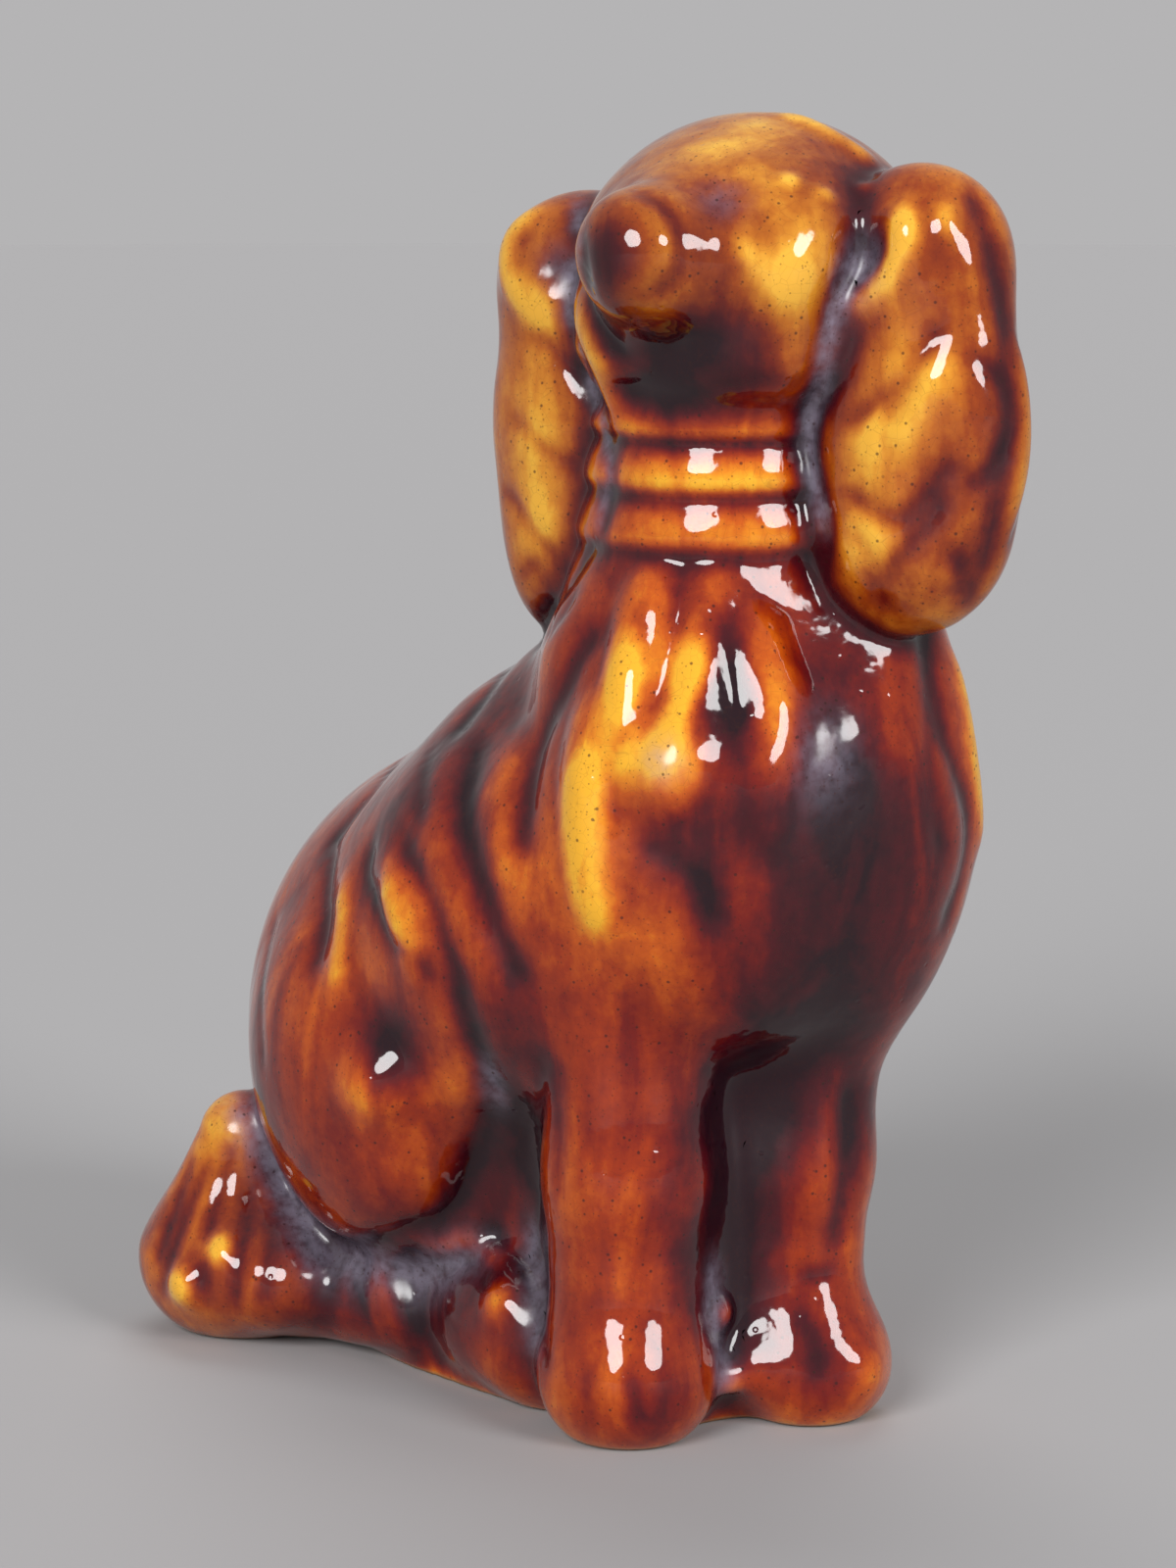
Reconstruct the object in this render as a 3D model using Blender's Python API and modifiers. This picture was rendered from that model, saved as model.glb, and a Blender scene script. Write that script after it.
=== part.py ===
"""Seated spaniel figure in pressed clay.

A hollow body of two mould pressings stands on a slab with a kiln vent, and a
strip of soft clay is pressed over their seam inside. The forelegs, hind feet,
tail and ears are pressed on their own and luted to the body.
Sizes are in millimetres. +X is the dog's left, -Y its front and +Z is up.
"""
import bmesh
import bpy
from math import cos, radians, sin
from mathutils import Matrix, Vector
from mathutils.bvhtree import BVHTree

MM = 0.001

# Clay and joints
WALL = 5.0
SLIP = 0.3
SLAB_THICK = 6.0
VENT_DIAMETER = 8.0
VENT_AT = (-6.0, 34.0)
SEAM_STRIP_WIDTH = 4.6
SEAM_STRIP_THICK = 2.4

# The mould parts on an upright plane, square to the side that is displayed
PARTING_YAW = -45.0
PARTING_OFFSET = 4.0

# Trunk: where each mass sits, its width, depth and height, and its lean
CHEST_AT = (2.0, -4.0, 70.0)
CHEST_SIZE = (52.0, 38.0, 54.0)
RIBS_AT = (-6.0, 20.0, 56.0)
RIBS_SIZE = (57.0, 60.0, 54.0)
RIBS_LEAN = -25.0
RUMP_AT = (-5.6, 42.0, 38.0)
RUMP_SIZE = (64.0, 61.0, 71.0)
RUMP_LEAN = -10.0
SHOULDER_AT = (1.0, 2.0, 86.0)
SHOULDER_SIZE = (44.0, 33.0, 33.0)
LEFT_SHOULDER_AT = (12.0, -6.6, 74.0)
LEFT_SHOULDER_SIZE = (23.0, 28.0, 64.0)
WITHERS_TOP = (-2.0, 8.0, 89.0)
WITHERS_LOW = (-8.0, 26.0, 73.0)
WITHERS_DIAMETERS = (20.0, 22.0)
BELLY_AT = (-3.0, 10.0, 24.0)
BELLY_SIZE = (30.0, 32.0, 80.0)
FOOTING_AT = (-5.0, 28.0, 3.0)
FOOTING_SIZE = (39.0, 62.0, 30.0)
# Hollow only: the passage from the belly to the rump
PASSAGE_AT = (-4.0, 20.0, 21.0)
PASSAGE_SIZE = (18.0, 30.0, 32.0)
# Thighs and the saddle of clay before the tail
THIGH_SPACING = 41.0
THIGH_BACK = 36.0
THIGH_HEIGHT = 36.0
THIGH_SIZE = (28.0, 38.0, 44.0)
THIGH_SPLAY = 6.0
SADDLE_BACK = (-27.0, 50.0, 8.0)
SADDLE_FRONT = (-21.0, 34.0, 8.0)
SADDLE_DIAMETERS = (15.0, 14.0)

# Neck and the rolls of skin round it
NECK_FOOT = (0.0, 2.0, 90.0)
NECK_DIAMETERS = (32.0, 27.0)
NECK_ROLL_HEIGHTS = (116.5, 109.5, 103.0)
NECK_ROLL_PROUD = 1.0
NECK_ROLL_THICK = 6.0

# Locks of the coat, laid on the skin of the trunk: the bearings about the chest's upright
# axis, in degrees from the front towards the dog's left, and the heights that each runs through
COAT_LOCKS = (
    ((-82, 94), (-76, 86), (-72, 77)),
    ((-58, 95), (-54, 84), (-60, 75)),
    ((-40, 90), (-26, 83), (-33, 72)),
    ((-84, 81), (-81, 73), (-78, 63)),
    ((7, 94), (9, 83), (6, 71)),
    ((31, 92), (30, 81), (27, 69)),
    ((-119, 79), (-105, 71), (-97, 61)),
    ((-138, 78), (-116, 68), (-107, 56)),
    ((-138, 70), (-123, 63), (-115, 54)),
    ((60, 90), (62, 78), (58, 66)),
    ((98, 84), (96, 73), (90, 60)))
LOCK_DIAMETERS = (6.5, 4.5)
LOCK_STRETCH = 1.3
LOCK_PROUD = 1.5
LOCK_STEPS = 5

# Head, turned towards the dog's right
HEAD_YAW = -62.0
HEAD_AT = (1.6, -1.2)
CROWN_HEIGHT = 147.8
SKULL_SIZE = (41.0, 33.0, 33.6)
SKULL_BACK = 2.0
BROW_SIZE = (31.0, 20.0, 19.0)
BROW_REACH = 9.0
BROW_LEFT = 2.0
BROW_RISE = 2.5
JAW_SIZE = (34.0, 28.0, 19.0)
JAW_REACH = 5.0
JAW_DROP = 8.0
MUZZLE_SIZE = (19.0, 22.0, 18.5)
MUZZLE_REACH = 16.0
MUZZLE_RISE = 0.5
NOSE_SIZE = (13.0, 11.5, 12.6)
NOSE_REACH = 22.0
NOSE_RISE = 2.5

# Ears: the flap, its root on the skull and its tip, each with how far its middle stands out
# from the skull's side and how far it hangs below the skull's middle
EAR_BACK = 1.0
RIGHT_FLAP_SIZE = (26.0, 17.0, 43.0)
RIGHT_FLAP_OUT = -0.5
RIGHT_FLAP_DROP = 18.0
RIGHT_ROOT_SIZE = (21.0, 18.0, 18.0)
RIGHT_ROOT_OUT = 1.0
RIGHT_ROOT_DROP = 1.0
RIGHT_TIP_SIZE = (13.0, 14.0, 22.0)
RIGHT_TIP_OUT = 3.5
RIGHT_TIP_DROP = 33.0
LEFT_FLAP_SIZE = (29.0, 17.0, 44.0)
LEFT_FLAP_OUT = 0.3
LEFT_FLAP_DROP = 17.0
LEFT_ROOT_SIZE = (20.5, 17.0, 20.0)
LEFT_ROOT_OUT = 1.1
LEFT_ROOT_DROP = -1.5
LEFT_TIP_SIZE = (20.0, 16.0, 19.0)
LEFT_TIP_OUT = -0.5
LEFT_TIP_DROP = 29.0

# Forelegs
LEG_SPACING = 21.0
LEG_MIDDLE = (-2.5, -2.0)
LEG_ADVANCE = 2.0
LEG_SINK = 8.0
ELBOW_BACK = 3.0
SHIN_HEIGHT = 30.0
WRIST_HEIGHT = 12.0
RIGHT_LEG_DIAMETERS = (20.4, 18.4, 17.8)
LEFT_LEG_DIAMETERS = (26.0, 16.4, 14.4)
PAW_SIZE = (19.0, 20.0, 16.0)
PAW_OUT = 0.8
PAW_FORWARD = 1.0
PAW_HEIGHT = 6.0

# Hind feet and tail
FOOT_MIDDLE = -1.5
FOOT_SIZE = (17.0, 25.0, 18.0)
FOOT_SPACING = 30.0
FOOT_BACK = 20.0
FOOT_HEIGHT = 9.0
TOES_SIZE = (14.0, 14.0, 15.0)
TOES_SPACING = 29.0
TOES_BACK = 12.0
TOES_HEIGHT = 7.5
TAIL_TOP_OUT = 28.0
TAIL_TOP_BACK = 16.0
TAIL_TOP_HEIGHT = 24.5
TAIL_TOP_DIAMETER = 11.0
TAIL_TUFT_OUT = 30.0
TAIL_TUFT_BACK = 19.0
TAIL_TUFT_HEIGHT = 9.0
TAIL_TUFT_DIAMETER = 19.0
TAIL_ROOT_SIZE = (25.0, 34.0, 18.0)
TAIL_ROOT_OUT = 25.5
TAIL_ROOT_BACK = 16.0
TAIL_ROOT_HEIGHT = 9.0

# Slab
SLAB_AT = (-4.0, 38.0)
SLAB_SIZE = (39.0, 66.0)

# Grain of the clay forms, smoothing passes at their creases and triangles that each keeps
VOXEL = 1.2
CAVITY_VOXEL = 1.6
TRUNK_PASSES = 100
HEAD_PASSES = 12
NOSE_PASSES = 4
EAR_PASSES = 16
TAIL_PASSES = 10
BODY_TRIANGLES = 4800
CAVITY_TRIANGLES = 1200
LEG_TRIANGLES = 900
FOOT_TRIANGLES = 500
TAIL_TRIANGLES = 700
EAR_TRIANGLES = 900
BALL_SEGMENTS = 32
BALL_RINGS = 20
SLAB_SEGMENTS = 64
SHARP_ANGLE = 40.0
LEAST_HALF_SIZE = 2.0
FAR = 300.0

COLLECTION = "pottery_dog_figure"
CUTTERS = "cutters"


def clear_scene():
    """Empty the scene of what a new file holds."""
    for obj in list(bpy.context.scene.objects):
        bpy.data.objects.remove(obj, do_unlink=True)


def new_collection(name):
    collection = bpy.data.collections.new(name)
    bpy.context.scene.collection.children.link(collection)
    return collection


def body_axis():
    """The dog's upright middle line, halfway between its thighs."""
    return RUMP_AT[0]


def turn(yaw=0.0, lean=0.0, roll=0.0):
    """Roll about Y, then lean about X, then yaw about Z, in degrees."""
    z = Matrix.Rotation(radians(yaw), 4, "Z")
    x = Matrix.Rotation(radians(lean), 4, "X")
    y = Matrix.Rotation(radians(roll), 4, "Y")
    return z @ x @ y


def add_ball(bm, at, size, turned=None, inset=0.0):
    """An ellipsoid of this width, depth and height, less the inset all round."""
    half = [0.5 * s - inset for s in size]
    if min(half) < LEAST_HALF_SIZE:
        return
    matrix = Matrix.Translation(Vector(at)) @ (turned or Matrix()) @ Matrix.Diagonal((*half, 1.0))
    bmesh.ops.create_uvsphere(
        bm, u_segments=BALL_SEGMENTS, v_segments=BALL_RINGS, radius=1.0, matrix=matrix)


def add_limb(bm, start, end, start_diameter, end_diameter, inset=0.0):
    """A tapered limb with round ends."""
    start = Vector(start)
    end = Vector(end)
    span = end - start
    top = 0.5 * start_diameter - inset
    low = 0.5 * end_diameter - inset
    aim = Vector((0, 0, -1)).rotation_difference(span).to_matrix().to_4x4()
    middle = Matrix.Translation((start + end) / 2)
    bmesh.ops.create_cone(
        bm, cap_ends=True, segments=BALL_SEGMENTS, radius1=low, radius2=top, depth=span.length,
        matrix=middle @ aim)
    for point, radius in ((start, top), (end, low)):
        ball = Matrix.Translation(point)
        bmesh.ops.create_uvsphere(
            bm, u_segments=BALL_SEGMENTS, v_segments=BALL_RINGS, radius=radius, matrix=ball)


def as_object(bm, name, collection):
    """Put a bmesh in millimetres into a new object in metres."""
    bmesh.ops.scale(bm, vec=(MM, MM, MM), verts=bm.verts)
    mesh = bpy.data.meshes.new(name)
    bm.to_mesh(mesh)
    bm.free()
    obj = bpy.data.objects.new(name, mesh)
    collection.objects.link(obj)
    return obj


def scaled_up(obj):
    """A copy of an object's mesh in millimetres."""
    mesh = obj.data.copy()
    mesh.transform(Matrix.Scale(1 / MM, 4))
    return mesh


def bake(obj):
    """Replace an object's mesh by what its modifiers make of it."""
    bpy.context.view_layer.update()
    evaluated = obj.evaluated_get(bpy.context.evaluated_depsgraph_get())
    mesh = bpy.data.meshes.new_from_object(evaluated)
    obj.modifiers.clear()
    obj.data = mesh
    return obj


def fuse(obj, voxel, smoothing):
    """Melt overlapping volumes into one skin and soften the creases."""
    remesh = obj.modifiers.new("fuse", "REMESH")
    remesh.mode = "VOXEL"
    remesh.voxel_size = voxel * MM
    smooth = obj.modifiers.new("soften", "SMOOTH")
    smooth.factor = 0.5
    smooth.iterations = smoothing
    return bake(obj)


def thin_out(obj, triangles):
    """Bring the mesh down to about this many triangles, most where it curves most."""
    now = sum(len(face.vertices) - 2 for face in obj.data.polygons)
    decimate = obj.modifiers.new("thin_out", "DECIMATE")
    decimate.ratio = min(1.0, triangles / now)
    decimate.use_collapse_triangulate = True
    return bake(obj)


def join_into(target, others):
    """Add other meshes' volumes to a mesh that will be fused again."""
    bm = bmesh.new()
    bm.from_mesh(target.data)
    for other in others:
        bm.from_mesh(other.data)
        bpy.data.objects.remove(other, do_unlink=True)
    bm.to_mesh(target.data)
    bm.free()
    return target


def grown(obj, by, cutters):
    """A copy of a piece with its skin moved out, to cut its neighbours with."""
    copy = bpy.data.objects.new(obj.name + "_cutter", obj.data.copy())
    cutters.objects.link(copy)
    displace = copy.modifiers.new("grow", "DISPLACE")
    displace.strength = by * MM
    displace.mid_level = 0.0
    bake(copy)
    copy.display_type = "WIRE"
    copy.hide_render = True
    return copy


def box_cutter(name, low, high, cutters, turned=None):
    bm = bmesh.new()
    low = Vector(low)
    high = Vector(high)
    sized = Matrix.Translation((low + high) / 2) @ Matrix.Diagonal((*(high - low), 1.0))
    bmesh.ops.create_cube(bm, size=1.0, matrix=(turned or Matrix()) @ sized)
    cutter = as_object(bm, name, cutters)
    cutter.display_type = "WIRE"
    cutter.hide_render = True
    return cutter


def cut(obj, cutter, operation="DIFFERENCE"):
    boolean = obj.modifiers.new("cut", "BOOLEAN")
    boolean.solver = "EXACT"
    boolean.operation = operation
    boolean.object = cutter
    return bake(obj)


def keep_largest(obj):
    """Trim away the crumbs that a cut can leave beside the piece."""
    bm = bmesh.new()
    bm.from_mesh(obj.data)
    unseen = set(bm.verts)
    groups = []
    while unseen:
        stack = [unseen.pop()]
        group = set(stack)
        while stack:
            for edge in stack.pop().link_edges:
                for vert in edge.verts:
                    if vert in unseen:
                        unseen.discard(vert)
                        group.add(vert)
                        stack.append(vert)
        groups.append(group)
    groups.sort(key=len)
    crumbs = [vert for group in groups[:-1] for vert in group]
    bmesh.ops.delete(bm, geom=crumbs, context="VERTS")
    bm.to_mesh(obj.data)
    bm.free()
    return obj


def head_point(forward, left, height):
    """A point given by its reach along the gaze, to the dog's left and up."""
    yaw = radians(HEAD_YAW)
    x = HEAD_AT[0] + forward * sin(yaw) + left * cos(yaw)
    y = HEAD_AT[1] - forward * cos(yaw) + left * sin(yaw)
    return (x, y, height)


def skull_height():
    return CROWN_HEIGHT - SKULL_SIZE[2] / 2


def thigh_point(side):
    return (body_axis() + side * THIGH_SPACING / 2, THIGH_BACK, THIGH_HEIGHT)


def add_trunk(bm, inset=0.0):
    add_ball(bm, CHEST_AT, CHEST_SIZE, None, inset)
    add_ball(bm, RIBS_AT, RIBS_SIZE, turn(lean=RIBS_LEAN), inset)
    add_ball(bm, RUMP_AT, RUMP_SIZE, turn(lean=RUMP_LEAN), inset)
    add_ball(bm, SHOULDER_AT, SHOULDER_SIZE, None, inset)
    add_ball(bm, LEFT_SHOULDER_AT, LEFT_SHOULDER_SIZE, None, inset)
    add_limb(bm, WITHERS_TOP, WITHERS_LOW, *WITHERS_DIAMETERS, inset)
    add_ball(bm, BELLY_AT, BELLY_SIZE, None, inset)
    add_ball(bm, FOOTING_AT, FOOTING_SIZE, None, inset)
    neck_top = (*HEAD_AT, skull_height())
    add_limb(bm, NECK_FOOT, neck_top, *NECK_DIAMETERS, inset)


def add_head(bm, inset=0.0):
    facing = turn(yaw=HEAD_YAW)
    skull = skull_height()
    add_ball(bm, head_point(-SKULL_BACK, 0, skull), SKULL_SIZE, facing, inset)
    add_ball(bm, head_point(BROW_REACH, BROW_LEFT, skull + BROW_RISE), BROW_SIZE, facing, inset)
    add_ball(bm, head_point(JAW_REACH, 0, skull - JAW_DROP), JAW_SIZE, facing, inset)
    add_ball(bm, head_point(MUZZLE_REACH, 0, skull + MUZZLE_RISE), MUZZLE_SIZE, facing, inset)


def add_neck_rolls(bm):
    foot = Vector(NECK_FOOT)
    top = Vector((*HEAD_AT, skull_height()))
    for height in NECK_ROLL_HEIGHTS:
        share = (height - foot.z) / (top.z - foot.z)
        across = NECK_DIAMETERS[0] + share * (NECK_DIAMETERS[1] - NECK_DIAMETERS[0]) + 2 * NECK_ROLL_PROUD
        add_ball(bm, foot.lerp(top, share), (across, across, NECK_ROLL_THICK))


def skin_finder(body):
    """A function that gives the body's skin at a bearing about the chest and a height."""
    mesh = scaled_up(body)
    tree = BVHTree.FromPolygons([v.co for v in mesh.vertices], [p.vertices for p in mesh.polygons])

    def skin_at(bearing, height):
        outward = Vector((sin(radians(bearing)), -cos(radians(bearing)), 0))
        start = Vector((CHEST_AT[0], CHEST_AT[1], height)) + FAR * outward
        return tree.ray_cast(start, -outward)[0], outward

    return skin_at


def lock_form(skin_at, stations, collection):
    """A tapered lock of the coat that follows the skin through its stations."""
    spans = len(stations) - 1
    bm = bmesh.new()
    for count in range(spans * LOCK_STEPS + 1):
        share = count / (spans * LOCK_STEPS)
        span = min(count // LOCK_STEPS, spans - 1)
        part = count / LOCK_STEPS - span
        bearing, height = [a + part * (b - a) for a, b in zip(stations[span], stations[span + 1])]
        across = LOCK_DIAMETERS[0] + share * (LOCK_DIAMETERS[1] - LOCK_DIAMETERS[0])
        skin, outward = skin_at(bearing, height)
        add_ball(bm, skin - (across / 2 - LOCK_PROUD) * outward, (across, across, LOCK_STRETCH * across))
    return as_object(bm, "lock", collection)


def body_form(collection):
    """The whole body before it is parted: the trunk, then what stands out from it."""
    bm = bmesh.new()
    add_trunk(bm)
    body = fuse(as_object(bm, "body", collection), VOXEL, TRUNK_PASSES)
    skin_at = skin_finder(body)
    bm = bmesh.new()
    add_head(bm)
    add_neck_rolls(bm)
    for side in (-1, 1):
        add_ball(bm, thigh_point(side), THIGH_SIZE, turn(roll=side * THIGH_SPLAY))
    add_limb(bm, SADDLE_BACK, SADDLE_FRONT, *SADDLE_DIAMETERS)
    locks = [lock_form(skin_at, stations, collection) for stations in COAT_LOCKS]
    body = fuse(join_into(body, [as_object(bm, "head", collection), *locks]), VOXEL, HEAD_PASSES)
    bm = bmesh.new()
    nose = head_point(NOSE_REACH, 0, skull_height() + NOSE_RISE)
    add_ball(bm, nose, NOSE_SIZE, turn(yaw=HEAD_YAW))
    body = fuse(join_into(body, [as_object(bm, "nose", collection)]), VOXEL, NOSE_PASSES)
    return body


def cavity_form(name, inset, cutters):
    """The hollow inside the body, open below, with the passage from belly to rump."""
    bm = bmesh.new()
    add_trunk(bm, inset)
    add_head(bm, inset)
    add_ball(bm, PASSAGE_AT, PASSAGE_SIZE)
    cavity = fuse(as_object(bm, name, cutters), CAVITY_VOXEL, HEAD_PASSES)
    cavity.display_type = "WIRE"
    cavity.hide_render = True
    return thin_out(cavity, CAVITY_TRIANGLES)


def slab_form(body, above, underground, collection, cutters):
    """The rolled slab, trimmed flush with the body above it, and its vent."""
    bm = bmesh.new()
    matrix = Matrix.Translation((*SLAB_AT, 0)) @ Matrix.Diagonal((*SLAB_SIZE, 1, 1))
    bmesh.ops.create_cone(
        bm, cap_ends=True, segments=SLAB_SEGMENTS, radius1=0.5, radius2=0.5, depth=2 * SLAB_THICK,
        matrix=matrix)
    bm.from_mesh(scaled_up(body))
    slab = fuse(as_object(bm, "base_slab", collection), VOXEL, NOSE_PASSES)
    slab = thin_out(slab, BODY_TRIANGLES)
    cut(slab, underground)
    cut(slab, above)
    bm = bmesh.new()
    bmesh.ops.create_cone(
        bm, cap_ends=True, segments=BALL_SEGMENTS, radius1=VENT_DIAMETER / 2, radius2=VENT_DIAMETER / 2,
        depth=3 * SLAB_THICK, matrix=Matrix.Translation((*VENT_AT, SLAB_THICK / 2)))
    vent = as_object(bm, "vent_cutter", cutters)
    vent.display_type = "WIRE"
    vent.hide_render = True
    return keep_largest(cut(slab, vent))


def leg_form(name, side, collection):
    x = LEG_MIDDLE[0] + side * LEG_SPACING / 2
    y = LEG_MIDDLE[1] - side * LEG_ADVANCE / 2
    top, shin, low = RIGHT_LEG_DIAMETERS if side < 0 else LEFT_LEG_DIAMETERS
    bm = bmesh.new()
    add_limb(bm, (x, y + ELBOW_BACK, CHEST_AT[2] - LEG_SINK), (x, y, SHIN_HEIGHT), top, shin)
    add_limb(bm, (x, y, SHIN_HEIGHT), (x, y, WRIST_HEIGHT), shin, low)
    add_ball(bm, (x + side * PAW_OUT, y - PAW_FORWARD, PAW_HEIGHT), PAW_SIZE)
    return fuse(as_object(bm, name, collection), VOXEL, HEAD_PASSES)


def foot_form(name, side, collection):
    bm = bmesh.new()
    add_ball(bm, (FOOT_MIDDLE + side * FOOT_SPACING / 2, FOOT_BACK, FOOT_HEIGHT), FOOT_SIZE)
    add_ball(bm, (FOOT_MIDDLE + side * TOES_SPACING / 2, TOES_BACK, TOES_HEIGHT), TOES_SIZE)
    return fuse(as_object(bm, name, collection), VOXEL, NOSE_PASSES)


def tail_form(name, collection):
    bm = bmesh.new()
    x, y = RUMP_AT[:2]
    top = (x - TAIL_TOP_OUT, y + TAIL_TOP_BACK, TAIL_TOP_HEIGHT)
    tuft = (x - TAIL_TUFT_OUT, y + TAIL_TUFT_BACK, TAIL_TUFT_HEIGHT)
    add_limb(bm, top, tuft, TAIL_TOP_DIAMETER, TAIL_TUFT_DIAMETER)
    add_ball(bm, (x - TAIL_ROOT_OUT, y + TAIL_ROOT_BACK, TAIL_ROOT_HEIGHT), TAIL_ROOT_SIZE)
    return fuse(as_object(bm, name, collection), VOXEL, TAIL_PASSES)


def ear_form(name, side, collection):
    if side < 0:
        flap = (RIGHT_FLAP_SIZE, 0.0, RIGHT_FLAP_OUT, RIGHT_FLAP_DROP)
        root = (RIGHT_ROOT_SIZE, EAR_BACK, RIGHT_ROOT_OUT, RIGHT_ROOT_DROP)
        tip = (RIGHT_TIP_SIZE, EAR_BACK, RIGHT_TIP_OUT, RIGHT_TIP_DROP)
    else:
        flap = (LEFT_FLAP_SIZE, 0.0, LEFT_FLAP_OUT, LEFT_FLAP_DROP)
        root = (LEFT_ROOT_SIZE, EAR_BACK, LEFT_ROOT_OUT, LEFT_ROOT_DROP)
        tip = (LEFT_TIP_SIZE, EAR_BACK, LEFT_TIP_OUT, LEFT_TIP_DROP)
    bm = bmesh.new()
    for size, behind, out, drop in (flap, root, tip):
        aside = side * (SKULL_SIZE[0] / 2 + out)
        add_ball(bm, head_point(-behind, aside, skull_height() - drop), size, turn(yaw=HEAD_YAW))
    return fuse(as_object(bm, name, collection), VOXEL, EAR_PASSES)


def seam_strip(cavity, below, parting, collection, cutters):
    """The strip of soft clay pressed over the seam inside the hollow body."""
    strip = grown(cavity, -SLIP, cutters)
    inner = grown(cavity, -SLIP - SEAM_STRIP_THICK, cutters)
    half = SEAM_STRIP_WIDTH / 2
    low = (-FAR, PARTING_OFFSET - half, -FAR)
    high = (FAR, PARTING_OFFSET + half, FAR)
    band = box_cutter("seam_band", low, high, cutters, parting)
    cut(strip, inner)
    cut(strip, band, "INTERSECT")
    cut(strip, below)
    cutters.objects.unlink(strip)
    collection.objects.link(strip)
    strip.name = "seam_strip"
    strip.display_type = "TEXTURED"
    strip.hide_render = False
    return keep_largest(strip)


def clay(name, color, roughness):
    material = bpy.data.materials.new(name)
    material.use_nodes = True
    shader = material.node_tree.nodes["Principled BSDF"]
    shader.inputs["Base Color"].default_value = (*color, 1.0)
    shader.inputs["Roughness"].default_value = roughness
    shader.inputs["Metallic"].default_value = 0.0
    return material


def finish(obj, color, roughness=0.12):
    """Give a piece its own material and smooth shading with sharp cut edges."""
    obj.data.materials.clear()
    obj.data.materials.append(clay(obj.name + "_glaze", color, roughness))
    obj.data.shade_smooth()
    obj.data.set_sharp_from_angle(angle=radians(SHARP_ANGLE))


def centre_on_origin(pieces):
    """Stand the figure's footprint on the origin, middle on middle."""
    corners = [obj.matrix_world @ Vector(corner) for obj in pieces.objects for corner in obj.bound_box]
    middle = [(min(c[i] for c in corners) + max(c[i] for c in corners)) / 2 for i in (0, 1)]
    shift = Matrix.Translation((-middle[0], -middle[1], 0.0))
    for obj in bpy.context.scene.objects:
        obj.data.transform(shift)
    return [m / MM for m in middle]


def main():
    clear_scene()
    pieces = new_collection(COLLECTION)
    cutters = new_collection(CUTTERS)

    below = box_cutter("below_slab", (-FAR, -FAR, -FAR), (FAR, FAR, SLAB_THICK + SLIP), cutters)
    above = box_cutter("above_slab", (-FAR, -FAR, SLAB_THICK), (FAR, FAR, FAR), cutters)
    underground = box_cutter("underground", (-FAR, -FAR, -FAR), (FAR, FAR, 0), cutters)

    body = thin_out(body_form(pieces), BODY_TRIANGLES)
    slab = slab_form(body, above, underground, pieces, cutters)
    body_cutter = grown(body, SLIP, cutters)
    cut(body, below)
    cavity = cavity_form("cavity", WALL, cutters)
    cut(body, cavity)
    parting = turn(yaw=PARTING_YAW)
    strip = seam_strip(cavity, below, parting, pieces, cutters)
    half = SLIP / 2
    rear_low = (-FAR, PARTING_OFFSET - half, -FAR)
    rear_side = box_cutter("rear_side", rear_low, (FAR, FAR, FAR), cutters, parting)
    front_high = (FAR, PARTING_OFFSET + half, FAR)
    front_side = box_cutter("front_side", (-FAR, -FAR, -FAR), front_high, cutters, parting)
    back = bpy.data.objects.new("back_pressing", body.data.copy())
    pieces.objects.link(back)
    body.name = "front_pressing"
    keep_largest(cut(body, rear_side))
    keep_largest(cut(back, front_side))

    legs = []
    for name, side in (("right_foreleg", -1), ("left_foreleg", 1)):
        leg = thin_out(leg_form(name, side, pieces), LEG_TRIANGLES)
        for cutter in (body_cutter, underground):
            cut(leg, cutter)
        legs.append(keep_largest(leg))
    leg_cutters = [grown(leg, SLIP, cutters) for leg in legs]
    feet = []
    for name, side in (("right_hind_foot", -1), ("left_hind_foot", 1)):
        foot = thin_out(foot_form(name, side, pieces), FOOT_TRIANGLES)
        for cutter in (body_cutter, underground, *leg_cutters):
            cut(foot, cutter)
        feet.append(keep_largest(foot))
    foot_cutters = [grown(foot, SLIP, cutters) for foot in feet]
    for cutter in (*leg_cutters, *foot_cutters):
        cut(slab, cutter)
    keep_largest(slab)
    tail = thin_out(tail_form("tail", pieces), TAIL_TRIANGLES)
    for cutter in (body_cutter, grown(slab, SLIP, cutters), underground, *foot_cutters):
        cut(tail, cutter)
    keep_largest(tail)
    ears = []
    for name, side in (("right_ear", -1), ("left_ear", 1)):
        ear = thin_out(ear_form(name, side, pieces), EAR_TRIANGLES)
        cut(ear, body_cutter)
        ears.append(keep_largest(ear))

    amber = (0.42, 0.12, 0.02)
    brown = (0.20, 0.05, 0.012)
    dark = (0.08, 0.018, 0.008)
    finish(body, amber)
    finish(back, brown)
    finish(slab, dark, 0.5)
    finish(strip, brown, 0.6)
    for piece in legs:
        finish(piece, brown)
    for piece in (*feet, tail):
        finish(piece, dark)
    for piece in ears:
        finish(piece, amber)
    middle = centre_on_origin(pieces)
    print("footprint middle before centring: %.2f, %.2f mm" % tuple(middle))
    for piece in pieces.objects:
        print(piece.name, len(piece.data.polygons))


main()
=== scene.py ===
import copy
import math

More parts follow.
